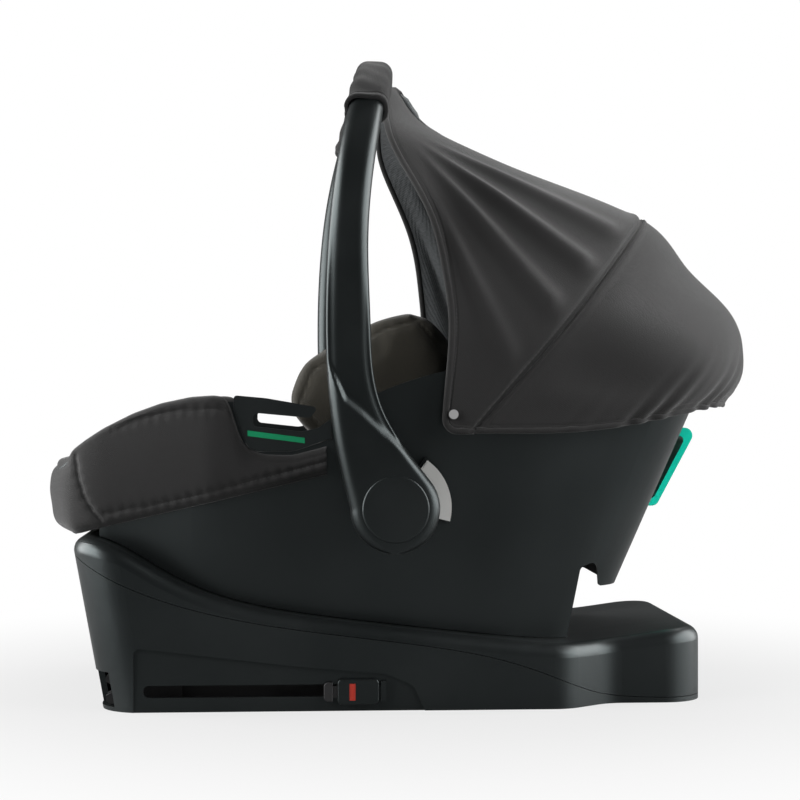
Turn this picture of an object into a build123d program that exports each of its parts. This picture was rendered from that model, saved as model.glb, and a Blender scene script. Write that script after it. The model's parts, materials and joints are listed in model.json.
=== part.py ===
from build123d import *
import math
import os

os.makedirs("parts", exist_ok=True)

# Infant car seat: a carrier with hood and carrying handle, standing on its anchor base.
# Head end is +X, up is +Z, and the floor is Z = 0. All sizes in millimetres.

# Base, plan and side
BASE_HALF_WIDTH = 178
TAIL_HALF_WIDTH = 144
BASE_FOOT_X = -294
BASE_LEAN = 0.185
BASE_TAIL_X = 290
WAIST_X = 150
WAIST_RUN = 44
BASE_CORNER = 45
TAIL_CORNER = 40
TRAY_WALL = 6
TRAY_FLOOR = 4
COVER_WALL = 5
COVER_ROUND = 13
SEAM_GAP = 0.6
SADDLE_GAP = 1.0
HORN_Z = 165

# Anchor arms that slide out of the base's foot end
ANCHOR_PITCH = 280
ARM_WIDTH = 14
ARM_HEIGHT = 22
ARM_Z = 19.5
RAIL_SHEET = 4
RAIL_PLAY = 0.5
HEAD_LENGTH = 72
HEAD_WIDTH = 25
HEAD_HEIGHT = 29
MOUTH_HEIGHT = 9
MOUTH_DEPTH = 22
SLIDER_X = -51
SLOT_HEIGHT = 11.6
SLOT_FOOT_X = -253
RIVET_RADIUS = 3.2
HEAD_FOOT_X = -290
ARM_END_X = 60
CROSS_Z = 53
PANEL_DEPTH = 2.5
POST_RADIUS = 7
SCREW_RADIUS = 2.5
SCREW_HEAD = 4.5
SCREW_SUNK = 2.4

# Support leg, folded up under the base
LEG_X = 240
LEG_Z = 22
LEG_LENGTH = 285
LEG_HEIGHT = 22
LEG_WIDTH = 44
LEG_SHEET = 2
LEG_PIN_RADIUS = 5
CHANNEL_HALF_WIDTH = 30
CHANNEL_TOP = 40
CHANNEL_FOOT_X = -80

# Latch between base and carrier
LATCH_X = 130
LATCH_Z = 42
LATCH_Y = 60
LATCH_OPEN = 22
LATCH_ARM = 20
AXLE_RADIUS = 4
LOCK_BAR_RADIUS = 5
BUTTON_X = 264

# Carrier shell: height, foot end, foot half-width, greatest half-width, head end, head half-width
HULL = [
    (40, -344, 104, 141, 180, 120),
    (400, -354, 148, 192, 334, 153),
]
SHOULDER_FOOT_X = -190
SHOULDER_HEAD_X = 70
SHELL_WALL = 5
PAN_SHEET = 5

# Side view of the carrier's underside, which the base's saddle follows
UNDERSIDE = [(-240, 134), (-182, 108), (-72, 86), (70, 69), (156, 62)]
FOOT_UNDERSIDE = (-290, 161)

# Side view of the seat pan, up to the straight back
BACK_ANGLE = 30
BACK_X = 20
BACK_Z = 168
BACK_RUN = 225
PAN_FOOT = [(-395, 224), (-300, 205), (-190, 165), (-80, 144)]

# Side view of the shell's rim on the foot side and on the head side of the belt guide
RIM_FOOT = [(-395, 218), (-346, 225), (-322, 240), (-262, 273), (-208, 289), (-168, 293)]
RIM_HEAD = [(-76, 277), (-32, 301), (36, 323), (140, 333), (240, 330), (345, 328)]

# Soft parts
PAD_THICK = 24
LINER_THICK = 12
LINER_X = 95
COVER_THICK = 9
FIT = 0.4
REAR_GUIDE_HALF = 42
WING_OUT = 130
WING_THICK = 30
STRAP_Y = 45
STRAP_HALF = 19
STRAP_THICK = 2.2

# Handle
HUB_X = -17
HUB_Z = 193
HUB_RADIUS = 42
HUB_CAP_RADIUS = 31.5
HUB_FACE = 187
HANDLE_OUTER = 217
HANDLE_SHEET = 22.5
HANDLE_TOP = 640
GRIP_HEIGHT = 26
HANDLE_ROUND = 190
BOSS_RADIUS = 34
BOLT_RADIUS = 5
LOCK_RADIUS = 24
LOCK_TEETH = 8
SLEEVE_RISE = 52
SLEEVE_THICK = 3

# Hood: height, half-width at the front, back end, fullness of the back corner
HOOD = [
    (256, 189, 318, 5.6),
    (300, 190, 345, 5.4),
    (346, 187, 358.2, 5.0),
    (390, 177, 341, 3.4),
    (430, 164, 300, 2.6),
    (HANDLE_TOP - 153, 140, 245, 2.0),
    (HANDLE_TOP - 110.5, 116, 134, 1.9),
    (HANDLE_TOP - 89, 104.5, 77, 1.9),
    (HANDLE_TOP - 64, 82, 19, 1.9),
    (HANDLE_TOP - 48, 56, 1, 1.9),
    (HANDLE_TOP - 38, 28, -6, 1.9),
]
HOOD_CLOTH = 3
SNAP_X = 39
SNAP_Z = 281
SNAP_RADIUS = 4.5
BOW_LOW = (60, 266)
BOW_TOP = (255, HANDLE_TOP - 153)
BOW_SHEET = 5


def write(part, name):
    part.label = name
    export_step(part, f"parts/{name}.step")


def side_block(points, near, far, radius=0.0):
    """Block with a straight-edged side view, from near to far across the part."""
    with BuildPart() as block:
        with BuildSketch(Plane.XZ.offset(-near)):
            with BuildLine():
                FilletPolyline(*points, radius=radius, close=True)
            make_face()
        extrude(amount=near - far)
    return block.part


def cross_rod(x, z, radius, near, far):
    """Round rod lying across the part."""
    with BuildPart() as rod:
        with BuildSketch(Plane.XZ.offset(-near)):
            with Locations((x, z)):
                Circle(radius)
        extrude(amount=near - far)
    return rod.part


def box_between(low, high):
    with BuildPart() as box:
        with Locations(tuple((a + b) / 2 for a, b in zip(low, high))):
            Box(*[b - a for a, b in zip(low, high)])
    return box.part


def both_sides(part):
    """The part and its mirror image across the centre plane."""
    with BuildPart() as pair:
        add(part)
        mirror(part, about=Plane.XZ)
    return pair.part


def other_side(part):
    with BuildPart() as image:
        mirror(part, about=Plane.XZ)
    return image.part


# Base

def base_outline(height, inset):
    """Half of the base's plan at a height, drawn in by inset."""
    foot_x = BASE_FOOT_X - BASE_LEAN * height + inset
    wide = BASE_HALF_WIDTH - inset
    narrow = TAIL_HALF_WIDTH - inset
    tail_x = BASE_TAIL_X - inset
    FilletPolyline(
        (foot_x, 0),
        (foot_x, wide),
        (WAIST_X, wide),
        (WAIST_X + WAIST_RUN, narrow),
        (tail_x, narrow),
        (tail_x, 0),
        radius=[BASE_CORNER - inset, 40, 40, TAIL_CORNER - inset],
    )


def base_block(inset):
    """Full-height block of the base's plan, with the leaning foot end."""
    with BuildPart() as block:
        for height in (-10, 190):
            with BuildSketch(Plane.XY.offset(height)):
                with BuildLine() as outline:
                    base_outline(height, inset)
                    mirror(outline.line, about=Plane.XZ)
                make_face()
        loft(ruled=True)
    return block.part


def under_path(points, low, reach):
    """Everything in side view below a smooth path, down to a low line."""
    with BuildPart() as region:
        with BuildSketch(Plane.XZ):
            with BuildLine():
                path = Spline(*points)
                Polyline(path @ 1, ((path @ 1).X, low), ((path @ 0).X, low), path @ 0)
            make_face()
        extrude(amount=reach, both=True)
    return region.part


PARTING = [
    (-345, 166),
    (-240, 107),
    (-155, 85),
    (6, 62.5),
    (97, 44.5),
    (158, 21.8),
    (188, 10.5),
    (216, 6.6),
    (262, 5.4),
    (320, 5),
]
TAIL_LINE = [(192, 63), (240, 69), (330, 70)]


def lowered(points, drop):
    return [(x, z - drop) for x, z in points]


def carrier_line(drop):
    """Underside of the carrier in side view, running on as the horn and tail of the base."""
    horn = [(-430, 161), (-345, HORN_Z - 1), (-305, HORN_Z)]
    return lowered([*horn, FOOT_UNDERSIDE, *UNDERSIDE, *TAIL_LINE], drop)


def base_top(drop):
    """Everything in side view below the base's saddle."""
    return under_path(carrier_line(drop), -20, 200)


LATCH_SLOT = [(116, 30), (163, 30), (163, 80), (116, 80)]
SCREWS = [(-262, 96), (82, 100), (206, 112)]
arm_y = ANCHOR_PITCH / 2


def base_hollow(wall):
    """Space inside the base's walls, up to the underside of its cover."""
    with BuildPart() as space:
        add(base_block(wall))
        add(base_top(SADDLE_GAP + COVER_WALL), mode=Mode.INTERSECT)
    return space.part


with BuildPart() as base_cover:
    add(base_block(0))
    add(base_top(SADDLE_GAP), mode=Mode.INTERSECT)
    roof = base_cover.faces().filter_by(lambda f: f.normal_at().Z > 0.3)
    fillet(roof.edges().filter_by(lambda e: abs(e.center().Y) > 20), COVER_ROUND)
    add(under_path(PARTING, -40, 200), mode=Mode.SUBTRACT)
    add(base_hollow(COVER_WALL), mode=Mode.SUBTRACT)
    # Posts for the screws that come up through the tray's floor
    with BuildSketch(Plane.XY.offset(TRAY_FLOOR + SEAM_GAP)):
        for x, y in SCREWS:
            with Locations((x, y), (x, -y)):
                Circle(POST_RADIUS)
                Circle(SCREW_RADIUS, mode=Mode.SUBTRACT)
    extrude(until=Until.NEXT)
    # Slots for the latch hooks and the mouth of the release button
    add(both_sides(side_block(LATCH_SLOT, LATCH_Y - 8, LATCH_Y + 8)), mode=Mode.SUBTRACT)
    add(box_between((BUTTON_X + 10, -46, 12), (BASE_TAIL_X + 10, 46, 37)), mode=Mode.SUBTRACT)
write(base_cover.part, "base_cover")


def tray_space():
    """Space inside the tray, above its floor."""
    with BuildPart() as space:
        add(base_block(TRAY_WALL))
        add(box_between((-400, -300, TRAY_FLOOR), (400, 300, 220)), mode=Mode.INTERSECT)
    return space.part


PANEL = [(-262, -20), (-262, 61), (-109, 42.6), (-24, 35), (2, 24), (22, -20)]
slider_slot = [
    (SLOT_FOOT_X, ARM_Z - SLOT_HEIGHT / 2),
    (SLIDER_X + 22, ARM_Z - SLOT_HEIGHT / 2),
    (SLIDER_X + 22, ARM_Z + SLOT_HEIGHT / 2),
    (SLOT_FOOT_X, ARM_Z + SLOT_HEIGHT / 2),
]
channel_wall = CHANNEL_HALF_WIDTH + 4

with BuildPart() as base_tray:
    add(base_block(0))
    add(under_path(lowered(PARTING, SEAM_GAP), -40, 200), mode=Mode.INTERSECT)
    add(box_between((-400, -300, 0), (400, 300, 220)), mode=Mode.INTERSECT)
    add(tray_space(), mode=Mode.SUBTRACT)
    # Channel of the support leg, open below and at its foot end
    add(box_between((CHANNEL_FOOT_X, -channel_wall, 0), (LEG_X + 22, channel_wall, CHANNEL_TOP + 4)))
    add(
        box_between(
            (CHANNEL_FOOT_X - 1, -CHANNEL_HALF_WIDTH, -1),
            (LEG_X + 18, CHANNEL_HALF_WIDTH, CHANNEL_TOP),
        ),
        mode=Mode.SUBTRACT,
    )
    add(cross_rod(LEG_X, LEG_Z, LEG_PIN_RADIUS, -channel_wall - 1, channel_wall + 1), mode=Mode.SUBTRACT)
    # Bearing plates of the latch
    for plate_y in (LATCH_Y - 12, LATCH_Y + 8):
        add(both_sides(box_between((LATCH_X - 10, plate_y, 2), (LATCH_X + 10, plate_y + 4, LATCH_Z + 8))))
    add(
        both_sides(cross_rod(LATCH_X, LATCH_Z, AXLE_RADIUS, LATCH_Y - 13, LATCH_Y + 13)),
        mode=Mode.SUBTRACT,
    )
    # Openings of the anchor arms, sunk side panels and the slots of the sliders
    add(
        both_sides(box_between((-360, arm_y - 18, TRAY_FLOOR), (-240, arm_y + 26, 37))),
        mode=Mode.SUBTRACT,
    )
    add(
        both_sides(
            side_block(PANEL, BASE_HALF_WIDTH - PANEL_DEPTH, BASE_HALF_WIDTH + 5, [3, 6, 60, 30, 12, 3])
        ),
        mode=Mode.SUBTRACT,
    )
    add(
        both_sides(side_block(slider_slot, arm_y + 20, BASE_HALF_WIDTH + 5, SLOT_HEIGHT / 2 - 0.1)),
        mode=Mode.SUBTRACT,
    )
    with BuildSketch(Plane.XY.offset(-1)):
        for x, y in SCREWS:
            with Locations((x, y), (x, -y)):
                Circle(SCREW_RADIUS + 0.3)
    extrude(amount=TRAY_FLOOR + 2, mode=Mode.SUBTRACT)
    with BuildSketch(Plane.XY.offset(-1)):
        for x, y in SCREWS:
            with Locations((x, y), (x, -y)):
                Circle(SCREW_HEAD + 0.5)
    extrude(amount=1 + SCREW_SUNK, mode=Mode.SUBTRACT)
write(base_tray.part, "base_tray")

with BuildPart() as base_screws:
    with BuildSketch(Plane.XY.offset(SCREW_SUNK)):
        for x, y in SCREWS:
            with Locations((x, y), (x, -y)):
                Circle(SCREW_RADIUS)
    extrude(amount=24)
    with BuildSketch(Plane.XY.offset(SCREW_SUNK)):
        for x, y in SCREWS:
            with Locations((x, y), (x, -y)):
                Circle(SCREW_HEAD)
    extrude(amount=-2)
write(base_screws.part, "base_screws")


# Anchor arms

arm_high = ARM_Z + ARM_HEIGHT / 2
arm_out = arm_y + ARM_WIDTH / 2
head_foot_x = HEAD_FOOT_X
head_back_x = HEAD_FOOT_X + HEAD_LENGTH

with BuildPart() as guide_rails:
    with BuildSketch(Plane.YZ.offset(head_back_x + 4)):
        for side in (-1, 1):
            with Locations((side * (arm_y - 2.25), ARM_Z)):
                Rectangle(ARM_WIDTH + 4.5, ARM_HEIGHT + 2 * RAIL_PLAY + 2 * RAIL_SHEET)
            with Locations((side * (arm_y + 2), ARM_Z)):
                Rectangle(ARM_WIDTH + 4 + 2 * RAIL_PLAY, ARM_HEIGHT + 2 * RAIL_PLAY, mode=Mode.SUBTRACT)
    extrude(amount=74)
write(guide_rails.part, "guide_rails")

with BuildPart() as anchor_frame:
    for side in (-1, 1):
        with Locations(((head_back_x + ARM_END_X) / 2, side * arm_y, ARM_Z)):
            Box(ARM_END_X - head_back_x, ARM_WIDTH, ARM_HEIGHT)
        with Locations((ARM_END_X - 20, side * arm_y, (arm_high + CROSS_Z) / 2 + 2)):
            Box(20, ARM_WIDTH, CROSS_Z - arm_high + 12)
    with BuildSketch(Plane.XZ.offset(-arm_y)):
        with Locations((ARM_END_X - 20, CROSS_Z)):
            Circle(8)
    extrude(amount=2 * arm_y)
write(anchor_frame.part, "anchor_frame")

rivet_x = head_foot_x + 28
RIVETS = [(rivet_x, ARM_Z + 9), (rivet_x, ARM_Z - 9)]
mouth = [
    (head_foot_x - 5, ARM_Z - MOUTH_HEIGHT / 2 - 5),
    (head_foot_x + 4, ARM_Z - MOUTH_HEIGHT / 2),
    (head_foot_x + MOUTH_DEPTH, ARM_Z - MOUTH_HEIGHT / 2),
    (head_foot_x + MOUTH_DEPTH, ARM_Z + MOUTH_HEIGHT / 2),
    (head_foot_x + 4, ARM_Z + MOUTH_HEIGHT / 2),
    (head_foot_x - 5, ARM_Z + MOUTH_HEIGHT / 2 + 5),
]

with BuildPart() as anchor_head:
    with Locations(((head_foot_x + head_back_x) / 2, arm_y, ARM_Z)):
        Box(HEAD_LENGTH, HEAD_WIDTH, HEAD_HEIGHT)
    fillet(anchor_head.edges().filter_by(Axis.Y).sort_by(Axis.X)[:2], 5)
    add(side_block(mouth, arm_y - 20, arm_y + 20, [1, 2, 3.5, 3.5, 2, 1]), mode=Mode.SUBTRACT)
    add(
        box_between((head_foot_x - 2, arm_y - 3.5, ARM_Z - 8), (rivet_x + 12, arm_y + 3.5, ARM_Z + 20)),
        mode=Mode.SUBTRACT,
    )
    for x, z in RIVETS:
        add(cross_rod(x, z, RIVET_RADIUS, arm_y - 20, arm_y + 20), mode=Mode.SUBTRACT)
write(other_side(anchor_head.part), "anchor_head_left")
write(anchor_head.part, "anchor_head_right")

with BuildPart() as rivets_one_side:
    for x, z in RIVETS:
        add(cross_rod(x, z, RIVET_RADIUS, arm_y - HEAD_WIDTH / 2, arm_y + HEAD_WIDTH / 2))
        add(cross_rod(x, z, RIVET_RADIUS + 1.8, arm_y + HEAD_WIDTH / 2, arm_y + HEAD_WIDTH / 2 + 1.6))
        add(cross_rod(x, z, RIVET_RADIUS + 1.8, arm_y - HEAD_WIDTH / 2 - 1.6, arm_y - HEAD_WIDTH / 2))
write(both_sides(rivets_one_side.part), "anchor_rivets")

jaw_outline = [
    (head_foot_x + 3, ARM_Z + 5),
    (head_foot_x + 9, ARM_Z + 5),
    (head_foot_x + 11, ARM_Z + 6.5),
    (rivet_x + 7, ARM_Z + 4),
    (rivet_x + 7, ARM_Z + 13.5),
    (head_foot_x + 3, ARM_Z + 12.5),
]
with BuildPart() as anchor_jaw:
    add(side_block(jaw_outline, arm_y - 3, arm_y + 3, [1, 1, 1, 2, 2, 2]))
    add(cross_rod(*RIVETS[0], RIVET_RADIUS + 0.05, arm_y - 5, arm_y + 5), mode=Mode.SUBTRACT)
write(other_side(anchor_jaw.part), "anchor_jaw_left")
write(anchor_jaw.part, "anchor_jaw_right")

panel_y = BASE_HALF_WIDTH - PANEL_DEPTH
knob_low = panel_y + 0.5
knob_high = knob_low + 5

with BuildPart() as slider:
    add(box_between((SLIDER_X - 19, knob_low, ARM_Z - 13), (SLIDER_X + 20, knob_high, ARM_Z + 11)))
    fillet(slider.edges().filter_by(Axis.Y), 4)
    fillet(slider.faces().sort_by(Axis.Y)[-1].edges(), 1.2)
    add(box_between((SLIDER_X + 22, knob_low, ARM_Z - 10), (SLIDER_X + 27, knob_high - 1, ARM_Z + 9)))
    add(box_between((SLIDER_X + 15, knob_low, ARM_Z - 5), (SLIDER_X + 24, knob_low + 2, ARM_Z + 5)))
    add(box_between((SLIDER_X - 15, arm_out, ARM_Z - 5.2), (SLIDER_X + 15, knob_low + 1, ARM_Z + 5.2)))
    # Pocket of the squeeze button and the sunk window
    add(
        box_between((SLIDER_X - 20, knob_low + 1, ARM_Z - 7), (SLIDER_X - 4, knob_low + 3.4, ARM_Z + 5)),
        mode=Mode.SUBTRACT,
    )
    add(
        box_between((SLIDER_X - 8, knob_high - 1, ARM_Z - 9), (SLIDER_X - 2, knob_high + 1, ARM_Z + 7)),
        mode=Mode.SUBTRACT,
    )
write(other_side(slider.part), "anchor_slider_left")
write(slider.part, "anchor_slider_right")

indicator = box_between(
    (SLIDER_X - 8, knob_high - 1, ARM_Z - 9),
    (SLIDER_X - 2, knob_high - 0.3, ARM_Z + 7),
)
write(both_sides(indicator), "slider_indicators")

with BuildPart() as slider_button:
    add(box_between((SLIDER_X - 32, knob_low, ARM_Z - 10), (SLIDER_X - 23.6, knob_high - 0.5, ARM_Z + 8)))
    fillet(slider_button.edges().filter_by(Axis.Y).sort_by(Axis.X)[:2], 4)
    fillet(slider_button.faces().sort_by(Axis.Y)[-1].edges(), 0.8)
    add(
        box_between(
            (SLIDER_X - 24, knob_low + 1.3, ARM_Z - 6.6),
            (SLIDER_X - 10, knob_low + 3.1, ARM_Z + 4.6),
        )
    )
write(other_side(slider_button.part), "slider_button_left")
write(slider_button.part, "slider_button_right")


# Support leg

leg_tip_x = LEG_X - LEG_LENGTH

with BuildPart() as leg_outer:
    with BuildSketch(Plane.YZ.offset(leg_tip_x)):
        with Locations((0, LEG_Z)):
            RectangleRounded(LEG_WIDTH, LEG_HEIGHT, 7)
            RectangleRounded(LEG_WIDTH - 2 * LEG_SHEET, LEG_HEIGHT - 2 * LEG_SHEET, 5, mode=Mode.SUBTRACT)
    extrude(amount=LEG_LENGTH + 10)
    add(cross_rod(LEG_X, LEG_Z, LEG_HEIGHT / 2, -CHANNEL_HALF_WIDTH + 0.4, CHANNEL_HALF_WIDTH - 0.4))
    add(
        cross_rod(LEG_X, LEG_Z, LEG_PIN_RADIUS + 0.05, -CHANNEL_HALF_WIDTH, CHANNEL_HALF_WIDTH),
        mode=Mode.SUBTRACT,
    )
write(leg_outer.part, "leg_outer_tube")

inner_width = LEG_WIDTH - 2 * LEG_SHEET - 0.8
inner_height = LEG_HEIGHT - 2 * LEG_SHEET - 0.8
with BuildPart() as leg_inner:
    with BuildSketch(Plane.YZ.offset(leg_tip_x - 4)):
        with Locations((0, LEG_Z)):
            RectangleRounded(inner_width, inner_height, 4.6)
            RectangleRounded(inner_width - 4, inner_height - 4, 2.6, mode=Mode.SUBTRACT)
    extrude(amount=LEG_LENGTH - 60)
write(leg_inner.part, "leg_inner_tube")

with BuildPart() as leg_foot:
    add(box_between((leg_tip_x - 24, -26, LEG_Z - 12), (leg_tip_x - 4, 26, LEG_Z + 12)))
    fillet(leg_foot.edges().filter_by(Axis.X), 6)
    fillet(leg_foot.faces().sort_by(Axis.X)[0].edges(), 3)
write(leg_foot.part, "leg_foot")

with BuildPart() as leg_collar:
    add(box_between((leg_tip_x, -27, LEG_Z - 18), (leg_tip_x + 30, 27, LEG_Z + 15)))
    fillet(leg_collar.edges().filter_by(Axis.X), 5)
    with BuildSketch(Plane.YZ.offset(leg_tip_x)):
        with Locations((0, LEG_Z)):
            RectangleRounded(LEG_WIDTH, LEG_HEIGHT, 7)
    extrude(amount=30, mode=Mode.SUBTRACT)
    with BuildSketch(Plane.XY.offset(LEG_Z - 18)):
        with Locations((leg_tip_x + 15, 0)):
            Circle(8.3)
    extrude(amount=6.6, mode=Mode.SUBTRACT)
write(leg_collar.part, "leg_collar")

with BuildPart() as leg_button:
    with BuildSketch(Plane.XY.offset(LEG_Z - 19)):
        with Locations((leg_tip_x + 15, 0)):
            Circle(8)
    extrude(amount=4)
    fillet(leg_button.faces().sort_by(Axis.Z)[0].edges(), 1)
write(leg_button.part, "leg_button")

write(cross_rod(LEG_X, LEG_Z, LEG_PIN_RADIUS, -channel_wall - 1, channel_wall + 1), "leg_pin")


# Latch of the carrier

hook_locked = [
    (LATCH_X - 6, LATCH_Z - LATCH_ARM - 5),
    (LATCH_X + 6, LATCH_Z - LATCH_ARM - 5),
    (LATCH_X + 6, LATCH_Z + 54),
    (LATCH_X - 21, LATCH_Z + 54),
    (LATCH_X - 21, LATCH_Z + 49),
    (LATCH_X - 6, LATCH_Z + 49),
]
with BuildPart() as latch_hook:
    add(side_block(hook_locked, LATCH_Y - 5, LATCH_Y + 5, [3, 3, 4, 2, 1.5, 2]))
    add(cross_rod(LATCH_X, LATCH_Z, AXLE_RADIUS + 0.05, LATCH_Y - 8, LATCH_Y + 8), mode=Mode.SUBTRACT)
latch_axis = Axis((LATCH_X, 0, LATCH_Z), (0, 1, 0))
write(both_sides(latch_hook.part.rotate(latch_axis, LATCH_OPEN)), "latch_hooks")
write(both_sides(cross_rod(LATCH_X, LATCH_Z, AXLE_RADIUS, LATCH_Y - 12, LATCH_Y + 12)), "latch_axles")

rod_z = LATCH_Z - LATCH_ARM
with BuildPart() as release_button:
    add(box_between((BUTTON_X, -45, 13), (BUTTON_X + 13, 45, 36)))
    fillet(release_button.edges().filter_by(Axis.X), 5)
    fillet(release_button.faces().sort_by(Axis.X)[-1].edges(), 2)
    add(box_between((BUTTON_X, -LATCH_Y - 6, 15), (BUTTON_X + 5, LATCH_Y + 6, 34)))
    with BuildSketch(Plane.YZ.offset(BUTTON_X)):
        with Locations((LATCH_Y, rod_z), (-LATCH_Y, rod_z)):
            Circle(4)
    extrude(amount=LATCH_X + 1 - BUTTON_X)
write(release_button.part, "release_button")


# Carrier shell

def hull_block(inset):
    """Tapered hull of the carrier over its full height, drawn in by inset."""
    with BuildPart() as block:
        for height, foot_x, foot_half, half, head_x, head_half in HULL:
            with BuildSketch(Plane.XY.offset(height)):
                with BuildLine() as outline:
                    FilletPolyline(
                        (foot_x + inset, 0),
                        (foot_x + inset, foot_half - inset),
                        (SHOULDER_FOOT_X, half - inset),
                        (SHOULDER_HEAD_X, half - inset),
                        (head_x - inset, head_half - inset),
                        (head_x - inset, 0),
                        radius=[75 - inset, 200, 200, 60 - inset],
                    )
                    mirror(outline.line, about=Plane.XZ)
                make_face()
        loft(ruled=True)
    return block.part


def over_pan(lift):
    """Everything in side view above the seat pan, raised by lift square to the back."""
    run = math.cos(math.radians(BACK_ANGLE))
    rise = math.sin(math.radians(BACK_ANGLE))
    shift_x = -lift * rise
    shift_z = lift * run
    foot_line = [(x + shift_x, z + shift_z) for x, z in PAN_FOOT]
    back_low = (BACK_X + shift_x, BACK_Z + shift_z)
    back_high = (back_low[0] + BACK_RUN, back_low[1] + BACK_RUN * rise / run)
    with BuildPart() as region:
        with BuildSketch(Plane.XZ):
            with BuildLine():
                seat = Spline(*foot_line, back_low, tangents=((1, -0.1), (run, rise)))
                Line(back_low, back_high)
                head = JernArc(back_high, (run, rise), 260, 38)
                far_x = 500
                Polyline(
                    head @ 1,
                    (far_x, (head @ 1).Y),
                    (far_x, 800),
                    (-far_x, 800),
                    (-far_x, foot_line[0][1]),
                    seat @ 0,
                )
            make_face()
        extrude(amount=300, both=True)
    return region.part


def seat_space(inset):
    """Space in the seat that keeps inset from the shell's inner faces."""
    with BuildPart() as space:
        add(hull_block(SHELL_WALL + inset))
        add(over_pan(inset), mode=Mode.INTERSECT)
    return space.part


guide_outline = [
    (-168, 299),
    (-140, 296.5),
    (-88, 287.5),
    (-96, 277.5),
    (-150, 282.5),
    (-150, 269.5),
    (-104, 264.5),
    (-88, 268),
    (-76, 277),
    (-76, 258),
    (-112, 246),
    (-154, 246),
    (-168, 287),
]
guide_rounds = [3, 20, 3, 3, 5, 5, 15, 10, 1, 1, 40, 14, 10]

strip_outline = [(-155, 260.5), (-101, 253.5), (-101, 258.7), (-155, 265.7)]
heel_cut = [(156.5, 20), (156.5, 66), (168, 131), (184, 138), (188, 112), (280, 112), (280, 20)]
foot_step = [(-430, 100), (-298, 100), (-298, 172), (-335, 177), (-430, 182)]
heel_rounds = [0, 3, 6, 6, 3, 0, 0]

with BuildPart() as belly_pocket:
    add(hull_block(SHELL_WALL))
    add(over_pan(-PAN_SHEET), mode=Mode.SUBTRACT)
    add(box_between((-286, -300, 0), (500, 300, 600)), mode=Mode.INTERSECT)

with BuildPart() as below_rim:
    with BuildSketch(Plane.XZ):
        with BuildLine():
            rim_foot = Spline(*RIM_FOOT)
            rim_head = Spline(*RIM_HEAD)
            Line(rim_foot @ 1, rim_head @ 0)
            Polyline(rim_head @ 1, (345, 0), (-395, 0), rim_foot @ 0)
        make_face()
        # Recess of the belt guides
        with BuildLine():
            FilletPolyline(
                (-168.4, 340),
                (-168.4, 287),
                (-154.3, 245.6),
                (-112, 245.6),
                (-75.6, 257.6),
                (-75.6, 340),
                radius=[10, 14.4, 40, 1],
                close=False,
            )
            Line((-168.4, 340), (-75.6, 340))
        make_face(mode=Mode.SUBTRACT)
    extrude(amount=300, both=True)

bar_reach = [(112, 84, 137), (-150, 120, 147)]
boss_y = HUB_FACE - FIT
seat_y = 173.6


def button_sector(inner, outer, margin, near, far):
    """Ring sector on the head side of the right hub."""
    with BuildPart() as sector:
        with BuildSketch(Plane.XZ.offset(-near)):
            with Locations((HUB_X, HUB_Z)):
                Circle(outer)
                Circle(inner, mode=Mode.SUBTRACT)
            with BuildLine():
                low = math.radians(-14 - margin)
                high = math.radians(54 + margin)
                Polyline(
                    (HUB_X, HUB_Z),
                    (HUB_X + 200 * math.cos(low), HUB_Z + 200 * math.sin(low)),
                    (HUB_X + 200 * math.cos(high), HUB_Z + 200 * math.sin(high)),
                    close=True,
                )
            make_face(mode=Mode.INTERSECT)
        extrude(amount=near - far)
    return sector.part


with BuildPart() as carrier_shell:
    add(hull_block(0))
    add(under_path(carrier_line(0), -50, 300), mode=Mode.SUBTRACT)
    add(side_block(foot_step, -300, 300), mode=Mode.SUBTRACT)
    add(side_block(heel_cut, -300, 300, heel_rounds), mode=Mode.SUBTRACT)
    add(below_rim.part, mode=Mode.INTERSECT)
    # Handle bosses and the seats of the release buttons
    add(both_sides(cross_rod(HUB_X, HUB_Z, BOSS_RADIUS, 100, boss_y)))
    add(both_sides(button_sector(BOSS_RADIUS - 2, 56, 3, 100, seat_y)))
    add(seat_space(0), mode=Mode.SUBTRACT)
    add(belly_pocket.part, mode=Mode.SUBTRACT)
    # Holes for the lock bars and the handle bolts
    for x, z, reach in bar_reach:
        add(cross_rod(x, z, LOCK_BAR_RADIUS, -reach - 0.4, reach + 0.4), mode=Mode.SUBTRACT)
    add(both_sides(cross_rod(HUB_X, HUB_Z, BOLT_RADIUS, 140, 200)), mode=Mode.SUBTRACT)
write(carrier_shell.part, "carrier_shell")


def hull_ring(outset, inset):
    """Skin of the carrier hull from outset outside its face to inset inside it."""
    with BuildPart() as ring:
        add(hull_block(-outset))
        add(hull_block(inset), mode=Mode.SUBTRACT)
    return ring.part


with BuildPart() as strip_skin:
    add(hull_ring(2.1, 0))
    add(side_block(strip_outline, 0, 300), mode=Mode.INTERSECT)
write(both_sides(strip_skin.part), "belt_strips")

with BuildPart() as belt_guide:
    add(hull_ring(1.5, SHELL_WALL))
    add(side_block(guide_outline, 0, 300, guide_rounds), mode=Mode.INTERSECT)
    # Sunk seat of the coloured strip
    add(strip_skin.part, mode=Mode.SUBTRACT)
write(other_side(belt_guide.part), "belt_guide_left")
write(belt_guide.part, "belt_guide_right")

with BuildPart() as rear_guide:
    guide_side = [(236, 186), (261, 186), (304, 266), (236, 266)]
    add(side_block(guide_side, -REAR_GUIDE_HALF, REAR_GUIDE_HALF, [1, 8, 8, 1]))
    add(
        side_block([(230, 194), (258.5, 194), (292.5, 258), (230, 258)], -300, 300, [1, 5, 5, 1]),
        mode=Mode.SUBTRACT,
    )
    add(hull_block(-0.3), mode=Mode.SUBTRACT)
write(rear_guide.part, "rear_belt_guide")

with BuildPart() as lock_bars:
    for x, z, reach in bar_reach:
        add(cross_rod(x, z, LOCK_BAR_RADIUS, -reach, reach))
write(lock_bars.part, "lock_bars")


# Soft parts in and on the shell

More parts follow.
